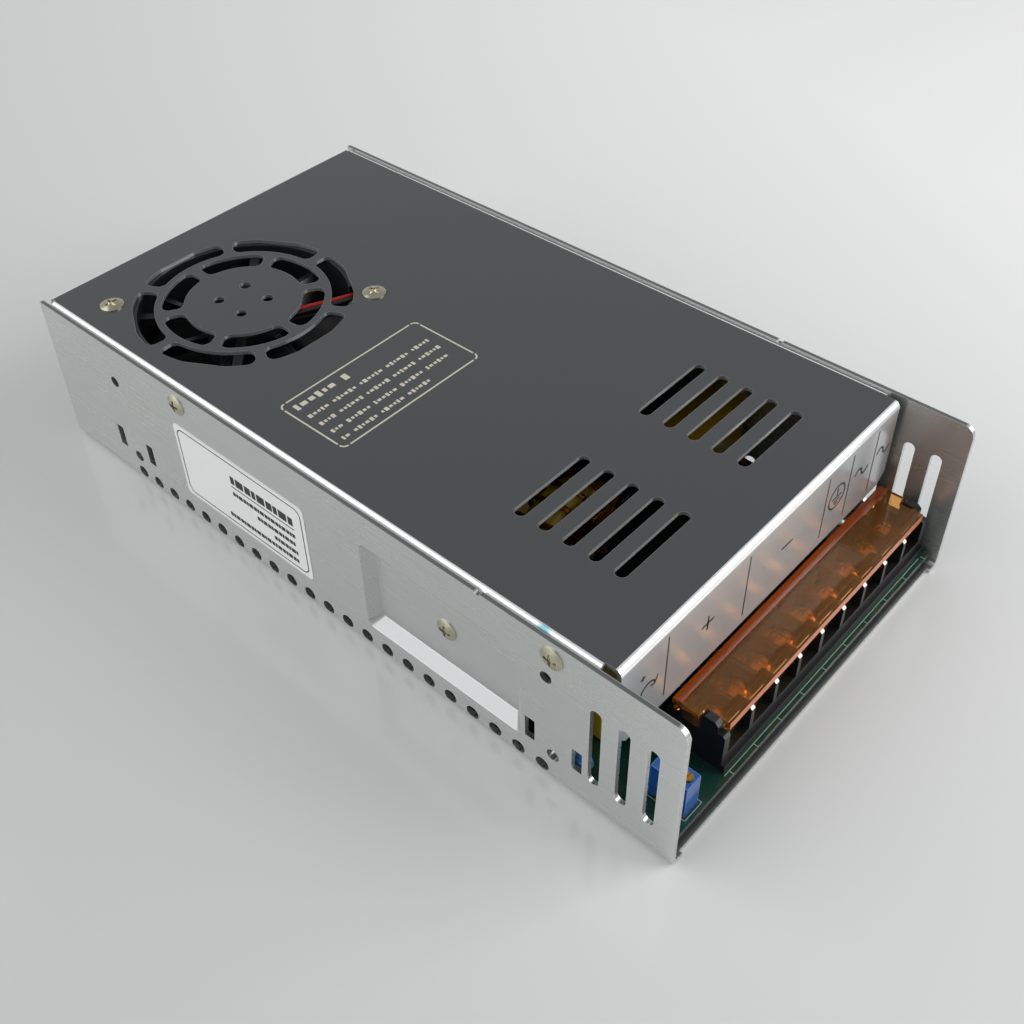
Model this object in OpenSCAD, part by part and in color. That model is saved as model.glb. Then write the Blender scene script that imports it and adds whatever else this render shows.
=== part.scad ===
// Enclosed switching power supply: folded aluminium chassis, folded cover with a fan grille,
// nine-way barrier terminal strip under a flip cover, and the parts it works with inside.
// X runs across the case, Y along it with the terminals at -Y, Z up from the underside.

/* [Case] */
// Length of the chassis
case_l = 215; // [205:1:235]
// Width over the chassis walls
case_w = 115; // [112:1:130]
// Height of the chassis walls
case_h = 46.5; // [46:0.5:55]
// Thickness of the chassis sheet
sheet_t = 1.2; // [1:0.1:1.5]
// Thickness of the cover sheet
cover_t = 1; // [0.8:0.1:1.2]
// Gap between the chassis walls and the flanges of the cover
cover_gap = 0.2; // [0.1:0.05:0.4]
// Outer radius of the chassis bends
chassis_bend_r = 2.6; // [2:0.1:3.5]
// Outer radius of the cover bends
cover_bend_r = 1.8; // [1.5:0.1:2.5]
// Corner radius at the front of each wall top
wall_corner_r = 3; // [1:0.5:6]
// How far the floor stops short of the wall fronts
floor_setback = 0.8; // [0.2:0.1:3]
// Open length in front of the cover, where the terminals are
bay_l = 18.1; // [17.6:0.1:19]
// Depth of the side flanges of the cover
side_flange_h = 8.8; // [7.5:0.1:9]
// Height of the lower edge of the front panel of the cover
panel_edge_z = 21.6; // [21.4:0.1:24]

/* [Mounting holes] */
// Distance between the threaded holes along the case
mount_pitch_y = 150; // [140:1:160]
// Distance between the floor holes across the case
mount_pitch_x = 50; // [40:1:60]
// Radius of the threaded M4 holes
mount_hole_r = 1.7; // [1.6:0.05:1.8]
// Height of the threaded holes in the walls
side_hole_z = 9.4; // [9:0.1:11]

/* [Wall openings] */
// Distance between the round vents in each row
vent_pitch = 7; // [6:0.25:8]
// Radius of a round vent
vent_r = 1.9; // [1.2:0.1:2]
// Height of the vent row
vent_z = 3.6; // [3.5:0.1:4.5]
// Number of round vents in each wall
vent_count = 22; // [10:1:24]
// Width of the upright slots beside the terminals
bay_slot_w = 3; // [2:0.25:3.5]
// Height of the upright slots
bay_slot_h = 25; // [15:1:27]
// Distance between the upright slots
bay_slot_pitch = 7.2; // [6:0.1:7.4]

/* [Pressed recess] */
// Length of the recess in the labelled wall
recess_l = 48.7; // [40:0.1:52]
// Height of the recess
recess_h = 28; // [22:0.5:30]
// Depth of the recess
recess_d = 2.8; // [2:0.1:3.2]

/* [Fan and grille] */
// Side of the square fan frame
fan_size = 60; // [60:1:62]
// Depth of the fan frame
fan_depth = 15; // [14:0.5:16]
// Distance between neighbouring fan screws
fan_pitch = 50; // [49.5:0.25:51]
// Sideways place of the fan centre
fan_x = -20.5; // [-22:0.25:-19]
// Distance of the fan centre from the rear
fan_rear = 41.5; // [38:0.5:43]
// Width of the curved grille slots
grille_slot_w = 6; // [4:0.25:6.5]
// Middle radius of the outer grille ring
grille_outer_r = 26.8; // [25:0.1:27]
// Middle radius of the inner grille ring
grille_inner_r = 19; // [18:0.1:19.5]
// Number of slots in each grille ring
grille_slots = 6; // [5:1:7]
// Number of fan blades
blade_count = 7; // [5:1:9]

/* [Cover slots] */
// Length of a cooling slot in the cover
louvre_l = 25; // [15:1:30]
// Width of a cooling slot
louvre_w = 3.2; // [2:0.1:4]
// Distance between the slots of a group
louvre_pitch = 7; // [5:0.25:7.5]
// Slots in each of the two groups
louvre_count = 5; // [3:1:6]

/* [Terminal strip] */
// Number of terminals
pole_count = 9; // [7:1:9]
// Distance between terminals
pole_pitch = 9.5; // [8.5:0.05:9.6]
// Thickness of the barriers between terminals
barrier_t = 1.3; // [1:0.1:1.6]
// Radius of a terminal screw head
pole_head_r = 3; // [2.5:0.1:3.3]

/* [Board and parts] */
// Height of the board top
board_top_z = 4.6; // [4.5:0.1:6]
// Thickness of the circuit board
board_t = 1.6; // [1.2:0.1:1.6]
// Radius of the bulk capacitors
bulk_r = 12.5; // [10:0.5:13]
// Height of the bulk capacitors
bulk_h = 33; // [25:1:36]
// Radius of the output capacitors
smooth_r = 6.2; // [5:0.1:6.5]
// Height of the output capacitors
smooth_h = 24; // [18:1:30]
// Turns of the output choke
choke_turns = 14; // [8:1:16]

/* [Hidden] */

$fn = 48;
e = 0.01;           // overshoot of cuts
seat = 0.05;        // play between a piece and what it sits in
run_gap = 0.06;     // running play of a turning shaft

in_w = case_w - 2 * sheet_t;                 // between the chassis walls
front_y = -case_l / 2;
rear_y = case_l / 2;
cover_w = in_w - 2 * cover_gap;              // over the side flanges
panel_w = cover_w - 2 * cover_bend_r;        // front and rear flanges and the flat of the top
panel_y = front_y + bay_l;                   // outer face of the front panel
cover_in_z = case_h - cover_t;
vent_y0 = mount_pitch_y / 2;
bay_slot_z = 22;                             // middle of the upright slots
bay_slot_y = front_y + 14.2;                 // middle one of the three
tab_slot = [2.8, 6.9];
tab_slot_dy = 6.6;
tab_slot_z = 13.4;
pin_hole_r = 1.6;
pin_hole_z = case_h - 12;
cover_screw_z = case_h - 4.6;
cover_screw_y = [rear_y - 59.1, panel_y + 15];
recess_y = panel_y + 72.4 - recess_l / 2;
recess_z = 8.8 + recess_h / 2;
recess_floor_x = -case_w / 2 + recess_d;     // outer face of the recess floor
screw_r = 1.45;                              // M3 shanks
head_r = 3;
head_h = 1;
side_hole_collar = 1.4;

fan_y = rear_y - fan_rear;
fan_top_z = cover_in_z;
fan_z = fan_top_z - fan_depth;
fan_bore_r = fan_size / 2 - 1.4;
fan_corner = fan_pitch / 2;
fan_screw_r = 1.9;
hub_r = 12.4;
strut_z = fan_top_z - 3.1;
strut_t = 1.4;
shaft_r = 1.5;
blade_h = fan_depth - 7;
blade_tip_r = fan_bore_r - 0.9;
lead_strut_at = [14.4, -14.2];               // strut that carries the leads, from the fan centre
lead_strut_a = -25;
lead_strut_w = 4.8;
lead_dy = -19.2;                             // way out of the leads, from the fan centre
fan_lead_y = fan_y + lead_dy;

board_z = board_top_z - board_t;
board_front_y = front_y + 2;
board_rear_y = rear_y - 4;
board_w = in_w - 1.6;
standoffs = [[-in_w / 2 + 6.3, panel_y + 20.4], [in_w / 2 - 5.3, panel_y + 8.4],
    [-in_w / 2 + 6.3, rear_y - 10.5], [in_w / 2 - 6.3, rear_y - 10.5], [in_w / 2 - 34.3, rear_y - 10.5],
    [in_w / 2 - 36.3, panel_y + 54.4]];

end_wall_t = 2;
block_l = pole_count * pole_pitch - barrier_t + 2 * end_wall_t;
block_x = in_w / 2 - 2.1 - block_l / 2;
block_x0 = block_x - block_l / 2;
block_front_y = front_y + 3.6;
block_rear_y = panel_y + 1.6;
block_floor_z = board_top_z + 5;
block_top_z = board_top_z + 12;
pole_y = front_y + 12;
plate_t = 0.8;
hinge_y = panel_y - 0.9;
hinge_z = block_top_z - 0.4;
hinge_r = 0.8;
ear_r = 1.5;
flip_t = 1.2;

trimmer = [4.8, 9.5, 10];
trimmer_x = -in_w / 2 + 10.2;
trimmer_y = front_y + 8.45;
trimmer_screw_y = trimmer_y - 3.15;
trimmer_screw_r = 1.1;

// parts behind the terminals keep to the front, the others to their wall
bulk_x = in_w / 2 - bulk_r - 5.8;
bulk_places = [[bulk_x, panel_y + 71.4], [bulk_x, panel_y + 71.4 + 2 * bulk_r + 3]];
smooth_places = [for (i = [0:2]) [block_x - 41.6 + i * (2 * smooth_r + 1.6), panel_y + smooth_r + 2.7]];
choke_at = [-14, panel_y + 48.4];
choke_core_r = 11;
choke_section_r = 4.4;
choke_wire_r = 0.8;
choke_z = board_top_z + choke_core_r + choke_section_r + 2 * choke_wire_r + 0.3;
transformer_at = [-8, panel_y + 86.4];
heatsink_x = recess_floor_x + sheet_t + seat;
heatsink_t = 7;

// ---- shapes used more than once -------------------------------------------------------

// Rectangle with round corners, centred
module round_rect(w, h, r) {
    square([w - 2 * r, h], center = true);
    square([w, h - 2 * r], center = true);
    for (sx = [-1, 1], sy = [-1, 1])
        translate([sx * (w / 2 - r), sy * (h / 2 - r)]) circle(r);
}

// Block with four round upright edges, standing on z = 0
module round_block(w, l, h, r) {
    linear_extrude(h) round_rect(w, l, r);
}

// Quarter ring between two radii, in the quadrant of -X and -Y
module bend(r, t) {
    intersection() {
        difference() {
            circle(r);
            circle(r - t);
        }
        translate([-r, -r]) square(r);
    }
}

// Straight slot with round ends, along X, centred
module round_slot(l, w) {
    square([l - w, w], center = true);
    for (s = [-1, 1]) translate([s * (l - w) / 2, 0]) circle(w / 2);
}

// Turns a plan drawn in X and Y so that X runs along the case and Y runs up
module on_side() {
    rotate([90, 0, 90]) children();
}

// Pan head with a cross recess, seated on z = 0, shank downwards
module cross_screw(r_shank, l_shank, r_head, h_head) {
    difference() {
        intersection() {
            cylinder(r = r_head, h = h_head);
            translate([0, 0, h_head - 2.2 * r_head]) sphere(2.2 * r_head, $fn = 64);
        }
        for (a = [0, 90]) rotate(a)
            translate([0, 0, h_head]) cube([r_head * 1.15, r_head * 0.26, h_head * 1.4], center = true);
    }
    translate([0, 0, -l_shank]) cylinder(r = r_shank, h = l_shank + e);
}

// Curved slot of the grille with rounded corners of radius c, centred on the +X axis
module arc_slot(r, w, half_angle, c = 2.2) {
    play = 0.02;                            // keeps the corner arcs off tangency
    r_in = r - w / 2 + c + play;
    r_out = r + w / 2 - c - play;
    a_in = half_angle - asin((c - play) / r_in);
    a_out = half_angle - asin((c - play) / r_out);
    p_in = r_in * [cos(a_in), sin(a_in)];
    p_out = r_out * [cos(a_out), sin(a_out)];
    d = (c + 2) * unit(p_out - p_in);
    intersection() {
        difference() {
            circle(r + w / 2, $fn = 96);
            circle(r - w / 2, $fn = 96);
        }
        polygon([p_in - d, p_out + d, [p_out[0] + d[0], -p_out[1] - d[1]], [p_in[0] - d[0], d[1] - p_in[1]]]);
    }
    intersection() {
        difference() {
            circle(r_out, $fn = 96);
            circle(r_in, $fn = 96);
        }
        polygon([[0, 0], 2 * r * [cos(half_angle), -sin(half_angle)], 2 * r * [cos(half_angle), sin(half_angle)]]);
    }
    for (p = [p_in, p_out], s = [-1, 1]) translate([p[0], s * p[1]]) circle(c);
}

// Tube swept along a list of points, with one ring of n points at each
module wire(path, r, n = 8) {
    last = len(path) - 1;
    dirs = [for (i = [0:last]) unit(path[min(i + 1, last)] - path[max(i - 1, 0)])];
    sides = [for (d = dirs) unit(cross(d, abs(d[2]) > 0.9 ? [0, 1, 0] : [0, 0, 1]))];
    rings = [for (i = [0:last]) for (k = [0:n - 1])
        path[i] + r * (cos(360 * k / n) * sides[i] + sin(360 * k / n) * cross(dirs[i], sides[i]))];
    polyhedron(rings, concat(
        [[for (k = [0:n - 1]) k]],
        [for (i = [0:last - 1]) for (k = [0:n - 1])
            [i * n + k, (i + 1) * n + k, (i + 1) * n + (k + 1) % n, i * n + (k + 1) % n]],
        [[for (k = [n - 1:-1:0]) last * n + k]]));
}

function unit(v) = v / norm(v);

// Points of a smooth curve through a list of places
function smooth(p, steps = 4) = concat([for (i = [0:len(p) - 2]) for (s = [0:steps - 1])
    let (a = p[max(i - 1, 0)], b = p[i], c = p[i + 1], d = p[min(i + 2, len(p) - 1)], t = s / steps)
    0.5 * (2 * b + (c - a) * t + (2 * a - 5 * b + 4 * c - d) * t * t
        + (3 * b - a - 3 * c + d) * t * t * t)], [p[len(p) - 1]]);

// ---- folded case ----------------------------------------------------------------------

// Section of the chassis across its length
module chassis_section() {
    r = chassis_bend_r;
    translate([-case_w / 2 + r, 0]) square([case_w - 2 * r, sheet_t]);
    for (s = [0, 1]) mirror([s, 0]) {
        translate([-case_w / 2, r]) square([sheet_t, case_h - r]);
        translate([-case_w / 2 + r, r]) bend(r, sheet_t);
    }
}

// Outline of the recess, grown by g, drawn along the case and up
module recess_outline(g) {
    l = recess_l / 2 + g;
    h = recess_h / 2 + g;
    small_r = max(2 + g, 0.8);
    large_r = max(9 + g, small_r);
    hull() {
        for (p = [[-l + large_r, h - large_r, large_r], [l - small_r, h - small_r, small_r],
                [l - small_r, -h + small_r, small_r], [-l + small_r, -h + small_r, small_r]])
            translate([p[0], p[1]]) circle(p[2], $fn = 32);
    }
}

// Sloped block between two recess outlines, from the wall inwards
module recess_form(g, x0, x1) {
    hull() {
        translate([x0, recess_y, recess_z]) on_side() linear_extrude(e) recess_outline(g);
        translate([x1 - e, recess_y, recess_z]) on_side() linear_extrude(e)
            recess_outline(g - recess_d);
    }
}

// Openings that both walls have, as cutters through the wall at +X
module wall_cuts() {
    deep = sheet_t + 2;
    translate([case_w / 2 - sheet_t - 1, 0, 0]) {
        for (i = [0:vent_count - 1]) translate([0, vent_y0 - i * vent_pitch, vent_z])
            rotate([0, 90, 0]) cylinder(r = vent_r, h = deep, $fn = 24);
        for (i = [-1:1]) translate([0, bay_slot_y + i * bay_slot_pitch, bay_slot_z])
            rotate([90, 0, 90]) linear_extrude(deep) rotate(90) round_slot(bay_slot_h, bay_slot_w);
        for (s = [-1, 1]) {
            for (d = [-1, 1])
                translate([0, s * mount_pitch_y / 2 + d * tab_slot_dy - tab_slot[0] / 2,
                    tab_slot_z - tab_slot[1] / 2]) cube([deep, tab_slot[0], tab_slot[1]]);
            translate([0, s * mount_pitch_y / 2 + 2.2, pin_hole_z])
                rotate([0, 90, 0]) cylinder(r = pin_hole_r, h = deep, $fn = 24);
        }
        for (y = cover_screw_y) translate([0, y, cover_screw_z])
            rotate([0, 90, 0]) cylinder(r = screw_r + 0.2, h = deep);
    }
}

module chassis() color("silver") {
    difference() {
        union() {
            translate([0, rear_y, 0]) rotate([90, 0, 0]) linear_extrude(case_l) chassis_section();
            for (s = [-1, 1], t = [-1, 1]) {
                // drawn collars give the threads their depth
                translate([s * (case_w / 2 - sheet_t - side_hole_collar / 2 + e / 2),
                    t * mount_pitch_y / 2, side_hole_z]) rotate([0, 90, 0])
                    cylinder(r = mount_hole_r + 1, h = side_hole_collar + e, center = true);
                translate([s * mount_pitch_x / 2, t * mount_pitch_y / 2, sheet_t - e])
                    cylinder(r = mount_hole_r + 1, h = 1 + e);
            }
            recess_form(0.4 * sheet_t, -case_w / 2 + sheet_t / 2, recess_floor_x + sheet_t);
        }
        recess_form(0, -case_w / 2 - e, recess_floor_x);
        for (s = [0, 1]) mirror([s, 0, 0]) wall_cuts();
        translate([0, recess_y, recess_z]) rotate([0, 90, 0])
            cylinder(r = screw_r + 0.2, h = case_w, center = true);
        for (s = [-1, 1], t = [-1, 1]) {
            translate([s * case_w / 2, t * mount_pitch_y / 2, side_hole_z]) rotate([0, 90, 0])
                cylinder(r = mount_hole_r, h = 12, center = true);
            translate([s * mount_pitch_x / 2, t * mount_pitch_y / 2, 0])
                cylinder(r = mount_hole_r, h = 12, center = true);
        }
        for (s = [-1, 1]) {
            // round front corner and the small notch of each wall top
            translate([s * case_w / 2 - 2 * sheet_t, front_y, case_h - wall_corner_r]) on_side()
                linear_extrude(4 * sheet_t) difference() {
                    translate([-e, 0]) square([wall_corner_r + e, wall_corner_r + e]);
                    translate([wall_corner_r, 0]) circle(wall_corner_r);
                }
            translate([s * case_w / 2, panel_y + 35.4, case_h]) cube([4 * sheet_t, 1.4, 1.2], center = true);
        }
        translate([-in_w / 2 + chassis_bend_r, front_y - 1, -1])
            cube([in_w - 2 * chassis_bend_r, 1 + floor_setback, 2 + sheet_t]);
        for (p = standoffs) translate([p[0], p[1], -1]) cylinder(r = 2.4 + seat, h = 3);
    }
}

// Section of the cover along the case: front panel, top and rear flange
module cover_length_section() {
    r = cover_bend_r;
    translate([panel_y + r, case_h - cover_t]) square([rear_y - panel_y - 2 * r, cover_t]);
    translate([panel_y, panel_edge_z]) square([cover_t, case_h - r - panel_edge_z]);
    translate([panel_y + r, case_h - r]) mirror([0, 1]) bend(r, cover_t);
    translate([rear_y - cover_t, sheet_t + seat]) square([cover_t, case_h - r - sheet_t - seat]);
    translate([rear_y - r, case_h - r]) rotate(180) bend(r, cover_t);
}

// Bend and flange along one long side
module side_flange_section() {
    r = cover_bend_r;
    translate([-cover_w / 2, case_h - side_flange_h]) square([cover_t, side_flange_h - r]);
    translate([-cover_w / 2 + r, case_h - r]) mirror([0, 1]) bend(r, cover_t);
    translate([-cover_w / 2 + r, case_h - cover_t]) square([0.5, cover_t]);
}

module cover() color("dimgray") {
    flange_front_y = panel_y + cover_bend_r + 2.3;
    flange_l = rear_y - 2.8 - flange_front_y;
    difference() {
        union() {
            translate([-panel_w / 2, 0, 0]) on_side() linear_extrude(panel_w) cover_length_section();
            for (s = [0, 1]) mirror([s, 0, 0])
                translate([0, flange_front_y + flange_l, 0]) rotate([90, 0, 0])
                    linear_extrude(flange_l) side_flange_section();
        }
        translate([fan_x, fan_y, case_h - 2 * cover_t]) linear_extrude(3 * cover_t) grille();
        for (s = [-1, 1]) translate([fan_x + s * fan_corner, fan_y - s * fan_corner, 0])
            cylinder(r = fan_screw_r + 0.3, h = 2 * case_h);
        for (g = [[-22.3, 0], [23, 0]]) for (i = [0:louvre_count - 1])
            translate([g[0], panel_y + 30.4 + (i - (louvre_count - 1) / 2) * louvre_pitch, case_h - 2 * cover_t])
                linear_extrude(3 * cover_t) round_slot(louvre_l, louvre_w);
        for (y = cover_screw_y) translate([0, y, cover_screw_z]) rotate([0, 90, 0])
            cylinder(r = screw_r + seat, h = 2 * case_w, center = true);
        // cut lower corners of the front panel
        for (s = [-1, 1]) translate([s * panel_w / 2, panel_y, panel_edge_z]) rotate([0, 45, 0])
            cube([4.2, 4 * cover_t, 4.2], center = true);
    }
}

// Air slots over the fan: two rings and four middle holes
module grille() {
    for (i = [0:grille_slots - 1]) {
        rotate(90 + i * 360 / grille_slots)
            arc_slot(grille_outer_r, grille_slot_w, 180 / grille_slots - 3);
        rotate(i * 360 / grille_slots)
            arc_slot(grille_inner_r, grille_slot_w, 180 / grille_slots - 4);
    }
    for (sx = [-1, 1], sy = [-1, 1]) translate([sx * 4.6, sy * 4.7]) circle(1.6, $fn = 24);
}

module cover_screws() color("lightgray") {
    for (s = [0, 1], y = cover_screw_y) mirror([s, 0, 0])
        translate([case_w / 2, y, cover_screw_z]) rotate([0, 90, 0])
            cross_screw(screw_r, 5, head_r, head_h);
}

module fan_screws() color("lightgray") {
    for (s = [-1, 1]) translate([fan_x + s * fan_corner, fan_y - s * fan_corner, case_h])
        cross_screw(fan_screw_r, 9, 3.2, 1.1);
}

module heatsink_screw() color("lightgray") {
    translate([recess_floor_x, recess_y, recess_z]) rotate([0, -90, 0])
        cross_screw(screw_r, 7, head_r, head_h);
}

module rating_sticker() color("white") {
    sticker_t = 0.15;
    translate([-case_w / 2 - sticker_t, recess_y + recess_l / 2 + 44.3, 22.3]) on_side()
        linear_extrude(sticker_t) round_rect(50, 24.3, 1.5);
}

// ---- fan ------------------------------------------------------------------------------

module fan_frame() color("black") {
    bearing_r = 4;
    difference() {
        union() {
            difference() {
                translate([fan_x, fan_y, fan_z]) round_block(fan_size, fan_size, fan_depth, 4);
                translate([fan_x, fan_y, fan_z - e]) cylinder(r = fan_bore_r, h = fan_depth + 1, $fn = 96);
            }
            intersection() {
                translate([fan_x, fan_y, strut_z - strut_t]) cylinder(r = fan_bore_r + 1, h = strut_t, $fn = 96);
                union() {
                    translate([fan_x, fan_y, 0]) cylinder(r = hub_r, h = case_h);
                    for (a = [45, 135, 225]) translate([fan_x, fan_y, 0]) rotate(a)
                        translate([0, -1.2, 0]) cube([fan_bore_r + 1, 2.4, case_h]);
                    translate([fan_x + lead_strut_at[0], fan_y + lead_strut_at[1], 0]) rotate(lead_strut_a)
                        translate([-12, -lead_strut_w / 2, 0]) cube([28, lead_strut_w, case_h]);
                }
            }
            translate([fan_x, fan_y, strut_z - strut_t - 6.5]) cylinder(r = bearing_r, h = 7);
        }
        translate([fan_x, fan_y, 0]) cylinder(r = shaft_r + run_gap, h = strut_z - 0.6);
        for (sx = [-1, 1], sy = [-1, 1]) translate([fan_x + sx * fan_corner, fan_y + sy * fan_corner, 0])
            cylinder(r = fan_screw_r + seat, h = case_h);
        // way out for the leads through the frame side
        translate([fan_x + fan_size / 2 - 13, fan_lead_y - 2.7, strut_z]) cube([16, 5.4, 5]);
    }
}

module fan_stator() color("peru") {
    translate([fan_x, fan_y, strut_z - strut_t - 6.3]) difference() {
        cylinder(r = 9.6, h = 5.8);
        translate([0, 0, -1]) cylinder(r = 4 + seat, h = 9);
        for (a = [0:60:300]) rotate(a) translate([7.2, 0, -1]) cylinder(r = 1.1, h = 9);
    }
}

module fan_rotor() color("black") {
    cup_top = strut_z - strut_t - 0.5;
    cup_z = fan_z + 1.2;
    translate([fan_x, fan_y, 0]) {
        difference() {
            translate([0, 0, cup_z]) cylinder(r = hub_r, h = cup_top - cup_z);
            translate([0, 0, cup_z + 1.4]) cylinder(r = hub_r - 1.4, h = fan_depth);
        }
        translate([0, 0, cup_z + 1.4 - e]) cylinder(r = shaft_r, h = strut_z - 0.8 - cup_z - 1.4);
        for (i = [0:blade_count - 1]) rotate(i * 360 / blade_count) intersection() {
            translate([0, 0, cup_z + 0.3]) difference() {
                cylinder(r = blade_tip_r, h = blade_h, $fn = 96);
                translate([0, 0, -1]) cylinder(r = hub_r - 0.3, h = fan_depth);
            }
            translate([hub_r - 2, 0, cup_z + 0.3 + blade_h / 2]) rotate([52, 0, 0])
                translate([0, -10, -0.6]) cube([blade_tip_r, 20, 1.2]);
        }
    }
}

lead_r = 0.65;
socket_dx = 37.5;           // socket from the fan centre, across

// Lead from the hub over its strut, through the frame side and down to its socket
module fan_lead(side) {
    along = [for (t = [-9, -6, -3, 0, 3, 6.5]) concat(lead_strut_at, 0)
        + t * [cos(lead_strut_a), sin(lead_strut_a), 0]];
    out = [[23.2, -18.1, 0], [26, -19, 0], [30, lead_dy, 0], [33.6, lead_dy, -0.8], [35.4, -19.1, -4],
        [36, -19, -9], [36.2, -19.1, -16], [36.8, lead_dy, -23], [socket_dx, lead_dy, -30]];
    foot = [[socket_dx, lead_dy, board_top_z + 2.2 - strut_z - lead_r]];
    start = [fan_x, fan_y, strut_z + lead_r + 0.05] + side * [0.45, 0.78, 0];
    wire(smooth([for (p = concat(along, out, foot)) start + p], 3), lead_r);
}

module fan_lead_red() color("red") fan_lead(1);
module fan_lead_black() color("black") fan_lead(-1);

module fan_socket() color("ivory") {
    translate([fan_x + socket_dx, fan_lead_y, board_top_z]) difference() {
        round_block(5, 7, 3.8, 0.6);
        for (s = [-1, 1]) translate([s * 0.45, s * 0.78, 2]) cylinder(r = lead_r + 0.12, h = 5);
    }
}

// ---- board and its fixings ------------------------------------------------------------

module insulating_sheet() color("gainsboro") {
    difference() {
        translate([-in_w / 2 + 3, board_front_y + 1, sheet_t + seat])
            cube([in_w - 6, board_rear_y - board_front_y - 2, 0.4]);
        for (p = standoffs) translate([p[0], p[1], 0]) cylinder(r = 4, h = 5);
        for (s = [-1, 1], t = [-1, 1])
            translate([s * mount_pitch_x / 2, t * mount_pitch_y / 2, 0]) cylinder(r = 4, h = 5);
    }
}

module board_standoffs() color("lightgray") {
    for (p = standoffs) translate([p[0], p[1], 0]) difference() {
        union() {
            cylinder(r = 2.4, h = sheet_t + 1);
            translate([0, 0, sheet_t]) cylinder(r = 3.4, h = board_z - sheet_t - e, $fn = 6);
        }
        translate([0, 0, -1]) cylinder(r = screw_r + seat, h = 9);
    }
}

module board_screws() color("lightgray") {
    for (p = standoffs) translate([p[0], p[1], board_top_z + e])
        cross_screw(screw_r, board_t + 1.6, head_r - 0.3, head_h);
}

module circuit_board() color("darkgreen") {
    difference() {
        translate([-board_w / 2, board_front_y, board_z]) cube([board_w, board_rear_y - board_front_y, board_t]);
        for (p = standoffs) translate([p[0], p[1], 0]) cylinder(r = screw_r + 0.15, h = 9);
        // relief for the collars of the threaded holes
        for (s = [-1, 1], t = [-1, 1])
            translate([s * board_w / 2, t * mount_pitch_y / 2, 0]) cylinder(r = 3, h = 9, center = true);
    }
}

// ---- terminal strip -------------------------------------------------------------------

function pole_x(i) = block_x + (i - (pole_count - 1) / 2) * pole_pitch;
function barrier_x(i) = block_x + (i - pole_count / 2) * pole_pitch;

hump_y = front_y + 8.8;         // middle of the humps that flank the flip cover
hump_half = 2.3;
hump_z = block_top_z + 2.9;

// Outline of an end wall, along the strip's depth and up
module end_wall() {
    polygon([[block_front_y + 0.9, board_top_z], [block_rear_y, board_top_z], [block_rear_y, block_top_z - 2.2],
        [hump_y + hump_half, block_top_z - 2.2], [hump_y + hump_half, hump_z - 1],
        [hump_y + hump_half - 1, hump_z], [hump_y - hump_half + 1, hump_z],
        [hump_y - hump_half, hump_z - 1], [hump_y - hump_half, block_top_z],
        [block_front_y + 1.5, block_top_z], [block_front_y + 0.9, block_top_z - 0.6]]);
    translate([hinge_y, hinge_z]) circle(ear_r);
    translate([hinge_y - ear_r, board_top_z]) square([2 * ear_r, hinge_z - board_top_z]);
}

module terminal_block() color([0.08, 0.08, 0.09]) {
    front_wall_y = front_y + 4.5;
    difference() {
        union() {
            // floor with its foot at the front
            translate([block_x0, front_wall_y, board_top_z])
                cube([block_l, block_rear_y - front_wall_y, block_floor_z - board_top_z]);
            translate([block_x0, block_front_y, board_top_z])
                cube([block_l, 2, block_floor_z - board_top_z - 2.6]);
            // rear wall under the front panel
            translate([block_x0, panel_y - 1.4, board_top_z])
                cube([block_l, block_rear_y - panel_y + 1.4, block_top_z - board_top_z - 2.2]);
            for (i = [1:pole_count - 1]) translate([barrier_x(i) - barrier_t / 2, front_wall_y, board_top_z])
                on_side() linear_extrude(barrier_t) polygon([[0, 0], [panel_y - front_wall_y, 0],
                    [panel_y - front_wall_y, block_top_z - board_top_z - 2.2],
                    [5.6, block_top_z - board_top_z - 2.2], [4.6, block_top_z - board_top_z],
                    [0.6, block_top_z - board_top_z], [0, block_top_z - board_top_z - 0.6]]);
            for (x = [block_x0, block_x0 + block_l - end_wall_t])
                translate([x, 0, 0]) on_side() linear_extrude(end_wall_t) end_wall();
        }
        // bores for the pins of the flip cover
        translate([block_x, hinge_y, hinge_z]) rotate([0, 90, 0])
            cylinder(r = hinge_r + run_gap, h = block_l + 2, center = true);
        // seat of each plate and clearance below its screw
        for (i = [0:pole_count - 1]) {
            translate([pole_x(i), pole_y, board_top_z + 1]) cylinder(r = 1.9, h = 20);
            translate([pole_x(i) - 3.9 - seat, front_wall_y + 2.4, block_floor_z - 0.4])
                cube([7.8 + 2 * seat, panel_y - 1.5 - front_wall_y - 2.4, 9]);
        }
    }
}

module terminal_plates() color("silver") {
    for (i = [0:pole_count - 1]) translate([pole_x(i), 0, block_floor_z - 0.4 + e]) difference() {
        translate([-3.9, front_y + 7, 0]) cube([7.8, panel_y - 1.6 - front_y - 7, plate_t]);
        translate([0, pole_y, -1]) cylinder(r = 1.75 + seat, h = 4);
    }
}

module terminal_screws() color("khaki") {
    washer_z = block_floor_z - 0.4 + plate_t + 2 * e;
    for (i = [0:pole_count - 1]) translate([pole_x(i), pole_y, washer_z]) {
        translate([-3.4, -3.4, 0]) cube([6.8, 6.8, 0.8]);
        translate([0, 0, 0.8 - e]) cross_screw(1.75, 5, pole_head_r, 2.3);
    }
}

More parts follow.
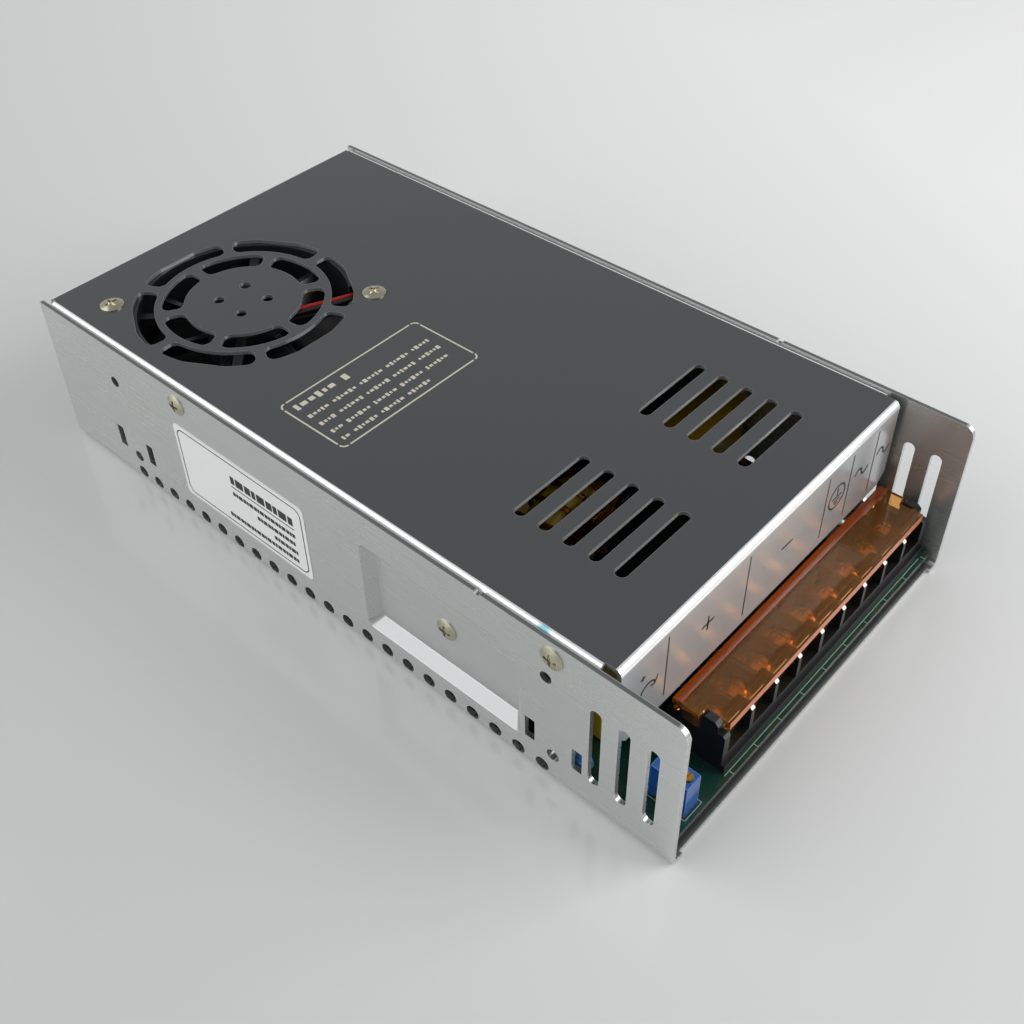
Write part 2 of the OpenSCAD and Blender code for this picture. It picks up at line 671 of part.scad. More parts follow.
// Flip cover lying over the strip, on two pins at its rear edge, cut out beside the humps
module terminal_cover() color([1, 0.5, 0.1]) {
    front = front_y + 5;
    rear = hinge_y + 1.2;
    w = block_l + 0.6;
    w_front = block_l - 2 * end_wall_t - 0.4;
    step = hump_y + hump_half + 0.3;
    z = hinge_z + ear_r + 0.1;
    lug_x = block_l / 2 - end_wall_t - 0.1;
    translate([block_x - w / 2, step, z]) cube([w, rear - step, flip_t]);
    translate([block_x - w_front / 2, front, z]) cube([w_front, step - front + e, flip_t]);
    translate([block_x - w_front / 2, front, z - 0.9]) cube([w_front, 1, 1.2]);
    // ridges along both edges
    translate([block_x - w_front / 2, front + 2, z + flip_t - e]) cube([w_front, 0.7, 0.4]);
    translate([block_x - w / 2, hinge_y - 1.3, z + flip_t - e]) cube([w, 0.7, 0.4]);
    for (s = [0, 1]) translate([block_x, 0, 0]) mirror([s, 0, 0]) {
        translate([lug_x - 2.4, hinge_y, hinge_z]) rotate([0, 90, 0]) cylinder(r = 1.2, h = 2.4);
        translate([lug_x - 2.4, hinge_y - 1.2, hinge_z]) cube([2.4, 2.4, z - hinge_z + e]);
        translate([lug_x - e, hinge_y, hinge_z]) rotate([0, 90, 0])
            cylinder(r = hinge_r, h = end_wall_t + 0.1);
    }
}

// ---- trimmer --------------------------------------------------------------------------

module trimmer_body() color([0.1, 0.25, 0.75]) {
    difference() {
        union() {
            translate([trimmer_x - trimmer[0] / 2, trimmer_y - trimmer[1] / 2, board_top_z + 0.4])
                cube([trimmer[0], trimmer[1], trimmer[2] - 0.4]);
            for (s = [-1, 1]) translate([trimmer_x - trimmer[0] / 2,
                trimmer_y + s * (trimmer[1] / 2 - 0.7) - 0.7, board_top_z]) cube([trimmer[0], 1.4, 0.5]);
        }
        translate([trimmer_x, trimmer_screw_y, board_top_z + trimmer[2] - 4])
            cylinder(r = trimmer_screw_r + run_gap, h = 9);
    }
}

module trimmer_screw() color("goldenrod") {
    top = board_top_z + trimmer[2] + 1;
    translate([trimmer_x, trimmer_screw_y, top - 4.9]) difference() {
        cylinder(r = trimmer_screw_r, h = 4.9);
        translate([-3, -0.25, 4.2]) cube([6, 0.5, 3]);
    }
}

// ---- capacitors -----------------------------------------------------------------------

// Can on its seal, with the groove near the foot, a dished top and two leads
module can(r, h) {
    translate([0, 0, 0.4]) difference() {
        union() {
            cylinder(r = r, h = 2);
            translate([0, 0, 2 - e]) cylinder(r = r - 0.5, h = 1.2);
            translate([0, 0, 3]) cylinder(r = r, h = h - 4.2);
            translate([0, 0, h - 1.2 - e]) cylinder(r1 = r, r2 = r - 0.7, h = 0.8);
        }
        translate([0, 0, h - 0.8]) cylinder(r = r - 1.4, h = 1);
        for (a = [0, 90]) rotate(a) translate([0, 0, h - 0.8]) cube([r * 1.3, 0.5, 0.6], center = true);
    }
    for (s = [-1, 1]) translate([s * r * 0.4, 0, 0]) cylinder(r = 0.6, h = 0.6);
}

module bulk_capacitors() color([0.1, 0.1, 0.12]) {
    for (p = bulk_places) translate([p[0], p[1], board_top_z]) can(bulk_r, bulk_h);
}

module output_capacitors() color([0.12, 0.2, 0.16]) {
    for (p = smooth_places) translate([p[0], p[1], board_top_z]) can(smooth_r, smooth_h);
}

// Box type, each [x, y, width, length, height]
film_places = [[-in_w / 2 + 14.8, panel_y + 16.9, 7, 12, 18], [in_w / 2 - 15.3, panel_y + 46.8, 26, 12, 22],
    [block_x + 0.9, panel_y + 10.4, 13, 6, 12]];

module film_capacitors() color("gold") {
    for (p = film_places) translate([p[0], p[1], board_top_z]) {
        translate([0, 0, 0.6]) round_block(p[2], p[3], p[4], 0.6);
        for (sx = [-1, 1], sy = [-1, 1]) translate([sx * (p[2] / 2 - 0.9), sy * (p[3] / 2 - 0.9), 0])
            cylinder(r = 0.5, h = 0.7);
    }
}

// Coated discs, each [x, y, radius, turn]
disc_places = [[-in_w / 2 + 2, panel_y + 8.9, 2.6, 90], [in_w / 2 - 37.3, panel_y + 19.4, 4.5, 0],
    [in_w / 2 - 37.3, panel_y + 27.4, 4.5, 0]];

// Flat round body standing on two leads
module disc_part(r, t, turn) {
    rotate(turn) {
        translate([0, 0, r + 1.8]) rotate([90, 0, 0]) {
            cylinder(r = r, h = t - 1, center = true);
            cylinder(r = r - 0.5, h = t, center = true);
        }
        for (s = [-1, 1]) translate([s * r * 0.5, 0, 0]) cylinder(r = 0.35, h = 3.2);
    }
}

module disc_capacitors() color([0.15, 0.4, 0.8]) {
    for (p = disc_places) translate([p[0], p[1], board_top_z]) disc_part(p[2], 3, p[3]);
}

module thermistors() color([0.1, 0.3, 0.15]) {
    for (y = [6.4, 12.4]) translate([in_w / 2 - 23.3, panel_y + y, board_top_z]) disc_part(7, 4, 0);
}

// ---- wound parts ----------------------------------------------------------------------

core = [38, 40, 30];        // outside of the main core: across, along, up
core_web = [13, 12];        // middle leg: across, up

module transformer_core() color([0.2, 0.2, 0.2]) {
    window = [7.5, core[1] + 2, core[2] - 14];
    translate([transformer_at[0], transformer_at[1], board_top_z + 3 + core[2] / 2]) difference() {
        cube([core[0], 16, core[2]], center = true);
        for (s = [-1, 1]) translate([s * (core_web[0] + window[0]) / 2, 0, 0])
            cube([window[0], window[1], window[2]], center = true);
    }
}

// Bobbin with its flanges and the taped winding around the middle leg
module transformer_winding() color("gold") {
    w = core_web[0] + 2 * 7;
    top = core[2] - 14 - 0.6;
    translate([transformer_at[0], transformer_at[1], board_top_z]) difference() {
        union() {
            translate([0, 0, 3 + 7.3]) round_block(w, 37, top, 3);
            for (s = [-1, 1]) translate([0, s * 15, 0]) round_block(w, 7, 11, 1);
        }
        translate([0, 0, 3 + core[2] / 2])
            cube([core_web[0] + 2 * seat, 16 + 2 * seat, 60], center = true);
        translate([0, 0, 3 + 7 / 2 - 1]) cube([w + 2, 16 + 2 * seat, 9 + 2 * 0.3], center = true);
    }
}

module driver_transformer() color("gold") {
    translate([in_w / 2 - 14.3, fan_y - 4, board_top_z]) {
        round_block(15, 14, 3, 1);
        translate([0, 0, 3 - e]) round_block(11, 12, 12, 2);
        translate([0, 0, 15 - 2 * e]) round_block(15, 14, 1.6, 1);
    }
}

// Ring standing on edge with its axis along Y
module choke_core() color("gold") {
    translate([choke_at[0], choke_at[1], choke_z]) rotate([90, 0, 0])
        rotate_extrude($fn = 64) translate([choke_core_r, 0]) round_rect(6, 2 * choke_section_r, 1.2);
}

// Wire wound round a ring lying flat: mean radius and half section of the ring, number of turns,
// and the middle and width of the angle it covers
function winding(ring_r, half, turns, middle, span, wire_r) =
    let (corners = [[1, 1], [0, 1.12], [-1, 1], [-1.14, 0], [-1, -1], [0, -1.12], [1, -1], [1.14, 0]],
        n = len(corners))
    [for (i = [0:turns * n]) let (
        a = middle - span / 2 + span * i / (turns * n),
        c = corners[i % n],
        r = ring_r + c[0] * (half[0] + wire_r + 0.12))
        [r * cos(a), r * sin(a), c[1] * (half[1] + wire_r + 0.12)]];

// One wire wound round the ring, leaving its foot bare
module choke_winding() color("peru") {
    turns = [for (p = winding(choke_core_r, [3, choke_section_r], choke_turns, 90, 300, choke_wire_r))
        [p[0], p[2], p[1]]];
    ends = [for (s = [1, -1]) let (p = s > 0 ? turns[0] : turns[len(turns) - 1])
        [p[0] + s * 0.6, p[1] + 0.4, board_top_z - choke_z + 0.3]];
    translate([choke_at[0], choke_at[1], choke_z]) wire(concat([ends[0]], turns, [ends[1]]), choke_wire_r, 6);
}

// Line choke: a flat ring on its two coils
line_choke_at = [in_w / 2 - 19.3, panel_y + 27.4];
line_choke_z = 6.4;

module line_choke_core() color([0.25, 0.25, 0.28]) {
    translate([line_choke_at[0], line_choke_at[1], board_top_z + line_choke_z])
        rotate_extrude($fn = 64) translate([7, 0]) round_rect(3.6, 7.6, 0.8);
}

module line_choke_coils() color("peru") {
    translate([line_choke_at[0], line_choke_at[1], board_top_z + line_choke_z]) for (m = [0, 180])
        wire(winding(7, [1.8, 3.8], 6, m, 130, 0.6), 0.6, 6);
}

// ---- power parts on their heatsinks ---------------------------------------------------

rectifier_ys = [for (d = [-19.6, -8.2, 8.2, 19.6]) recess_y + d];
package = [10, 4.4, 15];            // width, thickness, height of a body
package_z = board_top_z + 8;

// Body with its tab face on the plane y = 0, standing on three leads
module package_body(r_hole) {
    difference() {
        translate([-package[0] / 2, 0, 0]) cube([package[0], package[1], package[2]]);
        translate([0, -1, package[2] - 4]) rotate([-90, 0, 0]) cylinder(r = r_hole, h = 9, $fn = 24);
    }
    for (x = [-2.5, 0, 2.5]) translate([x - 0.4, package[1] / 2 - 0.3, board_top_z - package_z])
        cube([0.8, 0.6, package_z - board_top_z + e]);
}

module rectifier_heatsink() color("silver") {
    l = 60;
    translate([heatsink_x, recess_y, recess_z]) difference() {
        translate([0, -l / 2, -recess_h / 2 + 1.2]) cube([heatsink_t, l, recess_h - 2]);
        rotate([0, 90, 0]) cylinder(r = screw_r + seat, h = 40, center = true);
        for (y = rectifier_ys) translate([heatsink_t, y - recess_y, package_z + package[2] - 4 - recess_z])
            rotate([0, 90, 0]) cylinder(r = screw_r + seat, h = 12, center = true);
    }
}

module rectifiers() color([0.12, 0.12, 0.12]) {
    for (y = rectifier_ys) translate([heatsink_x + heatsink_t + seat, y, package_z])
        rotate(-90) package_body(screw_r + 0.2);
}

module rectifier_screws() color("lightgray") {
    for (y = rectifier_ys)
        translate([heatsink_x + heatsink_t + 2 * seat + package[1], y, package_z + package[2] - 4])
            rotate([0, 90, 0]) cross_screw(screw_r, 8, head_r - 0.3, head_h);
}

plate_x = fan_x + fan_size / 2 + 12.5;
plate_y0 = bulk_places[1][1] + bulk_r + 11.5;
plate_l = rear_y - 19.5 - plate_y0;
switch_ys = [for (i = [0:2]) plate_y0 + 8 + i * (plate_l - 19) / 2];

module switch_heatsink() color("silver") {
    difference() {
        translate([plate_x, plate_y0, board_top_z + 2]) cube([3, plate_l, 34]);
        for (y = switch_ys) translate([plate_x, y, package_z + package[2] - 4])
            rotate([0, 90, 0]) cylinder(r = 1.6, h = 20, center = true, $fn = 24);
    }
    for (y = [plate_y0 + 4, plate_y0 + plate_l - 4]) translate([plate_x + 1, y - 1, board_top_z]) cube([1, 2, 3]);
}

module switch_transistors() color([0.12, 0.12, 0.12]) {
    for (y = switch_ys) translate([plate_x + 3 + seat, y, package_z]) rotate(-90) package_body(1.6);
}

// ---- fuse -----------------------------------------------------------------------------

fuse_at = [in_w / 2 - 5.8, panel_y + 23.4];

module fuse() color("lightcyan") {
    translate([fuse_at[0], fuse_at[1], board_top_z + 5]) rotate([90, 0, 0]) {
        cylinder(r = 2.4, h = 20, center = true);
        for (s = [-1, 1]) translate([0, 0, s * 7.5]) cylinder(r = 2.6, h = 5, center = true);
    }
}

module fuse_clips() color("silver") {
    for (s = [-1, 1]) translate([fuse_at[0], fuse_at[1] + s * 7.5, board_top_z]) {
        translate([-2.5, -2, 0]) cube([5, 4, 0.5]);
        difference() {
            translate([0, 0, 5]) rotate([90, 0, 0]) cylinder(r = 3.1, h = 4, center = true);
            translate([0, 0, 5]) rotate([90, 0, 0]) cylinder(r = 2.6 + seat, h = 5, center = true);
            translate([-1.9, -3, 5]) cube([3.8, 6, 6]);
        }
        translate([-0.4, -2, 0.4]) cube([0.8, 4, 1.7]);
    }
}

chassis();
cover();
cover_screws();
fan_screws();
heatsink_screw();
rating_sticker();
fan_frame();
fan_stator();
fan_rotor();
fan_lead_red();
fan_lead_black();
fan_socket();
insulating_sheet();
circuit_board();
board_standoffs();
board_screws();
terminal_block();
terminal_plates();
terminal_screws();
terminal_cover();
trimmer_body();
trimmer_screw();
bulk_capacitors();
output_capacitors();
film_capacitors();
disc_capacitors();
transformer_core();
transformer_winding();
driver_transformer();
choke_core();
choke_winding();
line_choke_core();
line_choke_coils();
switch_heatsink();
switch_transistors();
rectifier_heatsink();
rectifiers();
rectifier_screws();
fuse();
fuse_clips();
thermistors();
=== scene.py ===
"""Looks for an enclosed switching power supply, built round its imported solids.

X runs across the case, Y along it with the terminals at -Y, and Z up. Everything is in metres.
"""

import logging
import math
from dataclasses import dataclass
from enum import Enum
from functools import cache
from typing import Sequence

import bmesh
import bpy
from bpy.types import Material, Node, NodeSocket, NodeTree, Object
from mathutils import Matrix, Vector


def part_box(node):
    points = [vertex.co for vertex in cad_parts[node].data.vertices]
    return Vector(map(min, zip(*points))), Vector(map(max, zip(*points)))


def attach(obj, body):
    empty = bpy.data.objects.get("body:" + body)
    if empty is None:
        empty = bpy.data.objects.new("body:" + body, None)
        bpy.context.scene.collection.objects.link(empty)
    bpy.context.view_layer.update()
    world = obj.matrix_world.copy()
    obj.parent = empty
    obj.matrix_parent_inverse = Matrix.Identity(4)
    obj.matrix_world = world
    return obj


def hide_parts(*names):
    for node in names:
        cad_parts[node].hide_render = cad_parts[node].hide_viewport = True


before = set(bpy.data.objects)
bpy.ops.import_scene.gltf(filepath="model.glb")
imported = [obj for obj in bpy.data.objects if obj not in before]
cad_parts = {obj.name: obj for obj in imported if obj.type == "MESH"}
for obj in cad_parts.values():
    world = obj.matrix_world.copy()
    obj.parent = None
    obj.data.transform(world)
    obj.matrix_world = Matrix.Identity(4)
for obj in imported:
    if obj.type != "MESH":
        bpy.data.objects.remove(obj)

LOG = logging.getLogger("power_supply")
MM = 0.001
INK = 0.04 * MM  # thickness of a print
WELD = 1e-7  # points nearer than this are one
CORNER_STEPS = 8  # segments of a quarter turn in a print
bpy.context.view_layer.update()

Point = tuple[float, float, float]


class Body(str, Enum):
    """Bodies that the added pieces ride on."""

    CASE = "case"
    FLIP = "flip_cover"


class Way(str, Enum):
    """Ways that a face can look, as the facing group's masks name them."""

    UP = "Up"
    AHEAD = "Ahead"
    BEND = "Bend"


def srgb(code: str) -> tuple[float, float, float, float]:
    """Linear colour of a hexadecimal sRGB code.

    Args:
        code: Six hexadecimal digits.

    Returns:
        Red, green, blue and alpha for a shader socket.
    """
    values = [int(code[i : i + 2], 16) / 255 for i in (0, 2, 4)]
    linear = [v / 12.92 if v <= 0.04045 else ((v + 0.055) / 1.055) ** 2.4 for v in values]
    return (*linear, 1.0)


# ---- shader nodes ---------------------------------------------------------------------

Value = float | tuple[float, ...]


def add(tree: NodeTree, kind: str, values: dict[str, Value] | None = None, **settings: str | int) -> Node:
    """Add a shader node.

    Args:
        tree: Tree that takes it.
        kind: Type of the node, without its common prefix.
        values: Constant of each input that needs one.
        **settings: Properties of the node.

    Returns:
        The node.
    """
    node = tree.nodes.new("ShaderNode" + kind)
    for key, value in settings.items():
        setattr(node, key, value)
    for key, value in (values or {}).items():
        node.inputs[key].default_value = value
    return node


def link(source: Node, out: str, target: Node, into: str | int) -> None:
    """Link an output of one node to an input of another in the same tree."""
    source.id_data.links.new(source.outputs[out], target.inputs[into])


def mix(tree: NodeTree, below: NodeSocket | str, above: str, share: NodeSocket) -> NodeSocket:
    """Mix two colours.

    Args:
        tree: Tree that takes the node.
        below: Colour at share 0, as a socket or as hexadecimal sRGB.
        above: Colour at share 1, as hexadecimal sRGB.
        share: Share of the colour above.

    Returns:
        The mixed colour.
    """
    node = add(tree, "Mix", data_type="RGBA")
    node.inputs["B"].default_value = srgb(above)
    if isinstance(below, str):
        node.inputs["A"].default_value = srgb(below)
    else:
        tree.links.new(below, node.inputs["A"])
    tree.links.new(share, node.inputs["Factor"])
    return node.outputs["Result"]


def find(tree: NodeTree, kind: str) -> Node:
    """First node of a type."""
    return next(n for n in tree.nodes if n.bl_idname == kind)


class Effects:
    """Shared surface effects, each a node group made once."""

    @staticmethod
    def _new(name: str, inputs: dict[str, float], outputs: dict[str, str]) -> NodeTree:
        """Start an empty group with its sockets.

        Args:
            name: Name of the group.
            inputs: Name and default of each value input.
            outputs: Name and type of each output, without the common prefix.

        Returns:
            The group's node tree.
        """
        tree = bpy.data.node_groups.new(name, "ShaderNodeTree")
        for key, value in inputs.items():
            socket = tree.interface.new_socket(key, in_out="INPUT", socket_type="NodeSocketFloat")
            socket.default_value = value
        for key, kind in outputs.items():
            tree.interface.new_socket(key, in_out="OUTPUT", socket_type="NodeSocket" + kind)
        tree.nodes.new("NodeGroupInput")
        tree.nodes.new("NodeGroupOutput")
        return tree

    @staticmethod
    def _ends(tree: NodeTree) -> tuple[Node, Node]:
        """Input and output nodes of a group."""
        return find(tree, "NodeGroupInput"), find(tree, "NodeGroupOutput")

    @classmethod
    @cache
    def mottle(cls) -> NodeTree:
        """Soft mottling: a mask of large and small clouds and a normal for a faint waviness.

        Returns:
            Group with inputs Size and Wave and outputs Mask, Fine and Normal.
        """
        outputs = {"Mask": "Float", "Fine": "Float", "Normal": "Vector"}
        tree = cls._new("soft_mottle", {"Size": 40.0, "Wave": 0.1}, outputs)
        first, last = cls._ends(tree)
        coords = add(tree, "TexCoord")
        large = add(tree, "TexNoise", {"Detail": 3.0})
        fine = add(tree, "TexNoise", {"Scale": 1400.0, "Detail": 2.0})
        bump = add(tree, "Bump", {"Distance": 0.0004})
        link(coords, "Object", large, "Vector")
        link(coords, "Object", fine, "Vector")
        link(first, "Size", large, "Scale")
        link(large, "Fac", last, "Mask")
        link(fine, "Fac", last, "Fine")
        link(large, "Fac", bump, "Height")
        link(first, "Wave", bump, "Strength")
        link(bump, "Normal", last, "Normal")
        return tree

    @classmethod
    @cache
    def grain(cls) -> NodeTree:
        """Long rolling grain of sheet metal, as streaks along Y.

        Returns:
            Group with inputs Scale and Depth and outputs Streak and Normal.
        """
        outputs = {"Streak": "Float", "Normal": "Vector"}
        tree = cls._new("rolling_grain", {"Scale": 900.0, "Depth": 0.1}, outputs)
        first, last = cls._ends(tree)
        coords = add(tree, "TexCoord")
        squeeze = add(tree, "Mapping", {"Scale": (1.0, 0.02, 1.0)})
        streak = add(tree, "TexNoise", {"Detail": 4.0})
        bump = add(tree, "Bump", {"Distance": 0.0001})
        link(coords, "Object", squeeze, "Vector")
        link(squeeze, "Vector", streak, "Vector")
        link(first, "Scale", streak, "Scale")
        link(streak, "Fac", last, "Streak")
        link(streak, "Fac", bump, "Height")
        link(first, "Depth", bump, "Strength")
        link(bump, "Normal", last, "Normal")
        return tree

    @classmethod
    @cache
    def edge_highlight(cls) -> NodeTree:
        """Mask of the narrow band of painted highlight along sheared and rounded edges.

        Returns:
            Group with input Radius and output Edge.
        """
        tree = cls._new("edge_band", {"Radius": 0.0005}, {"Edge": "Float"})
        first, last = cls._ends(tree)
        bevel = add(tree, "Bevel", samples=4)
        geometry = add(tree, "NewGeometry")
        dot = add(tree, "VectorMath", operation="DOT_PRODUCT")
        ramp = add(tree, "MapRange", {"From Min": 0.995, "From Max": 0.90})
        link(first, "Radius", bevel, "Radius")
        link(bevel, "Normal", dot, 0)
        link(geometry, "Normal", dot, 1)
        link(dot, "Value", ramp, "Value")
        link(ramp, "Result", last, "Edge")
        return tree

    @classmethod
    @cache
    def facing(cls) -> NodeTree:
        """Masks of the faces that look up, of those that look ahead, and of bends and slopes between; most
        finishes use them to paint light and shade by the way a face looks.

        Returns:
            Group with outputs Up, Ahead and Bend.
        """
        tree = cls._new("face_direction", {}, {way.value: "Float" for way in Way})
        last = cls._ends(tree)[1]
        geometry = add(tree, "NewGeometry")
        split = add(tree, "SeparateXYZ")
        link(geometry, "True Normal", split, "Vector")
        steps = {}
        for name, axis, low, high in (
            (Way.UP.value, "Z", 0.975, 0.995),
            (Way.AHEAD.value, "Y", -0.97, -0.995),
            ("rising", "Z", 0.06, 0.16),
        ):
            step = add(tree, "MapRange", {"From Min": low, "From Max": high})
            link(split, axis, step, "Value")
            steps[name] = step
        bend = add(tree, "Math", operation="SUBTRACT")
        link(steps["rising"], "Result", bend, 0)
        link(steps[Way.UP.value], "Result", bend, 1)
        for way in (Way.UP, Way.AHEAD):
            link(steps[way.value], "Result", last, way.value)
        link(bend, "Value", last, Way.BEND.value)
        return tree


@dataclass(frozen=True)
class Finish:
    """A surface finish, built as a node material.

    Attributes:
        name: Name of the material.
        colour: Main colour as hexadecimal sRGB.
        second: Colour that the mottling or the streaks lead to.
        roughness: Mean roughness of the surface.
        spread: How much the roughness varies over the surface.
        metallic: Share of metal, from 0 to 1.
        scale: Scale of the mottling or the streaks.
        bump: Strength of the bump.
        grain: Whether the surface has rolling grain instead of mottling.
        edge: Colour of the painted highlight along sheared and rounded edges, if any.
        edge_width: Width of the edge band in metres.
        coat: Clear coat weight.
        coat_roughness: Roughness of the clear coat.
        transmission: Share of light let through.
        ior: Refractive index.
        subsurface: Share of light scattered below the surface.
        faces: Colours of the faces that look one way: painted light and shade on the sheets and the board,
            and the real metal tops of the capacitor sleeves.
        stain: Place, radius and colour of one small ink stain, if any.
    """

    name: str
    colour: str
    second: str
    roughness: float = 0.5
    spread: float = 0.1
    metallic: float = 0.0
    scale: float = 60.0
    bump: float = 0.1
    grain: bool = False
    edge: str | None = None
    edge_width: float = 0.0005
    coat: float = 0.0
    coat_roughness: float = 0.1
    transmission: float = 0.0
    ior: float = 1.5
    subsurface: float = 0.0
    faces: tuple[tuple[Way, str], ...] = ()
    stain: tuple[Point, float, str] | None = None

    def stained(self, tree: NodeTree, colour: NodeSocket) -> NodeSocket:
        """Lay the stain over a colour, with a soft rim.

        Args:
            tree: The material's node tree.
            colour: Colour below the stain.

        Returns:
            Colour with the stain.
        """
        place, radius, code = self.stain
        coords = add(tree, "TexCoord")
        reach = add(tree, "VectorMath", operation="DISTANCE")
        reach.inputs[1].default_value = place
        fade = add(tree, "MapRange", {"From Min": radius, "From Max": radius * 0.5, "To Max": 0.85})
        link(coords, "Object", reach, 0)
        link(reach, "Value", fade, "Value")
        return mix(tree, colour, code, fade.outputs["Result"])

    def build(self) -> Material:
        """Make the material, or fetch it if it is there already.

        Returns:
            The node material.
        """
        found = bpy.data.materials.get(self.name)
        if found is not None:
            return found
        material = bpy.data.materials.new(self.name)
        material.use_nodes = True
        tree = material.node_tree
        shader = find(tree, "ShaderNodeBsdfPrincipled")
        effect = add(tree, "Group")
        effect.node_tree = Effects.grain() if self.grain else Effects.mottle()
        effect.inputs[0].default_value = self.scale
        effect.inputs[1].default_value = self.bump
        colour = mix(tree, self.colour, self.second, effect.outputs["Streak" if self.grain else "Mask"])
        # Colour by facing: painted light and shade, except the capacitors' real metal tops.
        for way, code in self.faces:
            facing = add(tree, "Group")
            facing.node_tree = Effects.facing()
            colour = mix(tree, colour, code, facing.outputs[way.value])
        # Painted highlight along sheared and rounded edges.
        if self.edge is not None:
            band = add(tree, "Group")
            band.node_tree = Effects.edge_highlight()
            band.inputs["Radius"].default_value = self.edge_width
            colour = mix(tree, colour, self.edge, band.outputs["Edge"])
        if self.stain is not None:
            colour = self.stained(tree, colour)
        tree.links.new(colour, shader.inputs["Base Color"])
        smoothest, roughest = max(self.roughness - self.spread, 0.02), min(self.roughness + self.spread, 1.0)
        rough = add(tree, "MapRange", {"To Min": smoothest, "To Max": roughest})
        link(effect, "Streak" if self.grain else "Fine", rough, "Value")
        link(rough, "Result", shader, "Roughness")
        link(effect, "Normal", shader, "Normal")
        for key, value in (
            ("Metallic", self.metallic),
            ("IOR", self.ior),
            ("Coat Weight", self.coat),
            ("Coat Roughness", self.coat_roughness),
            ("Transmission Weight", self.transmission),
            ("Subsurface Weight", self.subsurface),
            ("Subsurface Radius", (0.002, 0.001, 0.0006)),
        ):
            shader.inputs[key].default_value = value
        material.diffuse_color = srgb(self.colour)
        return material


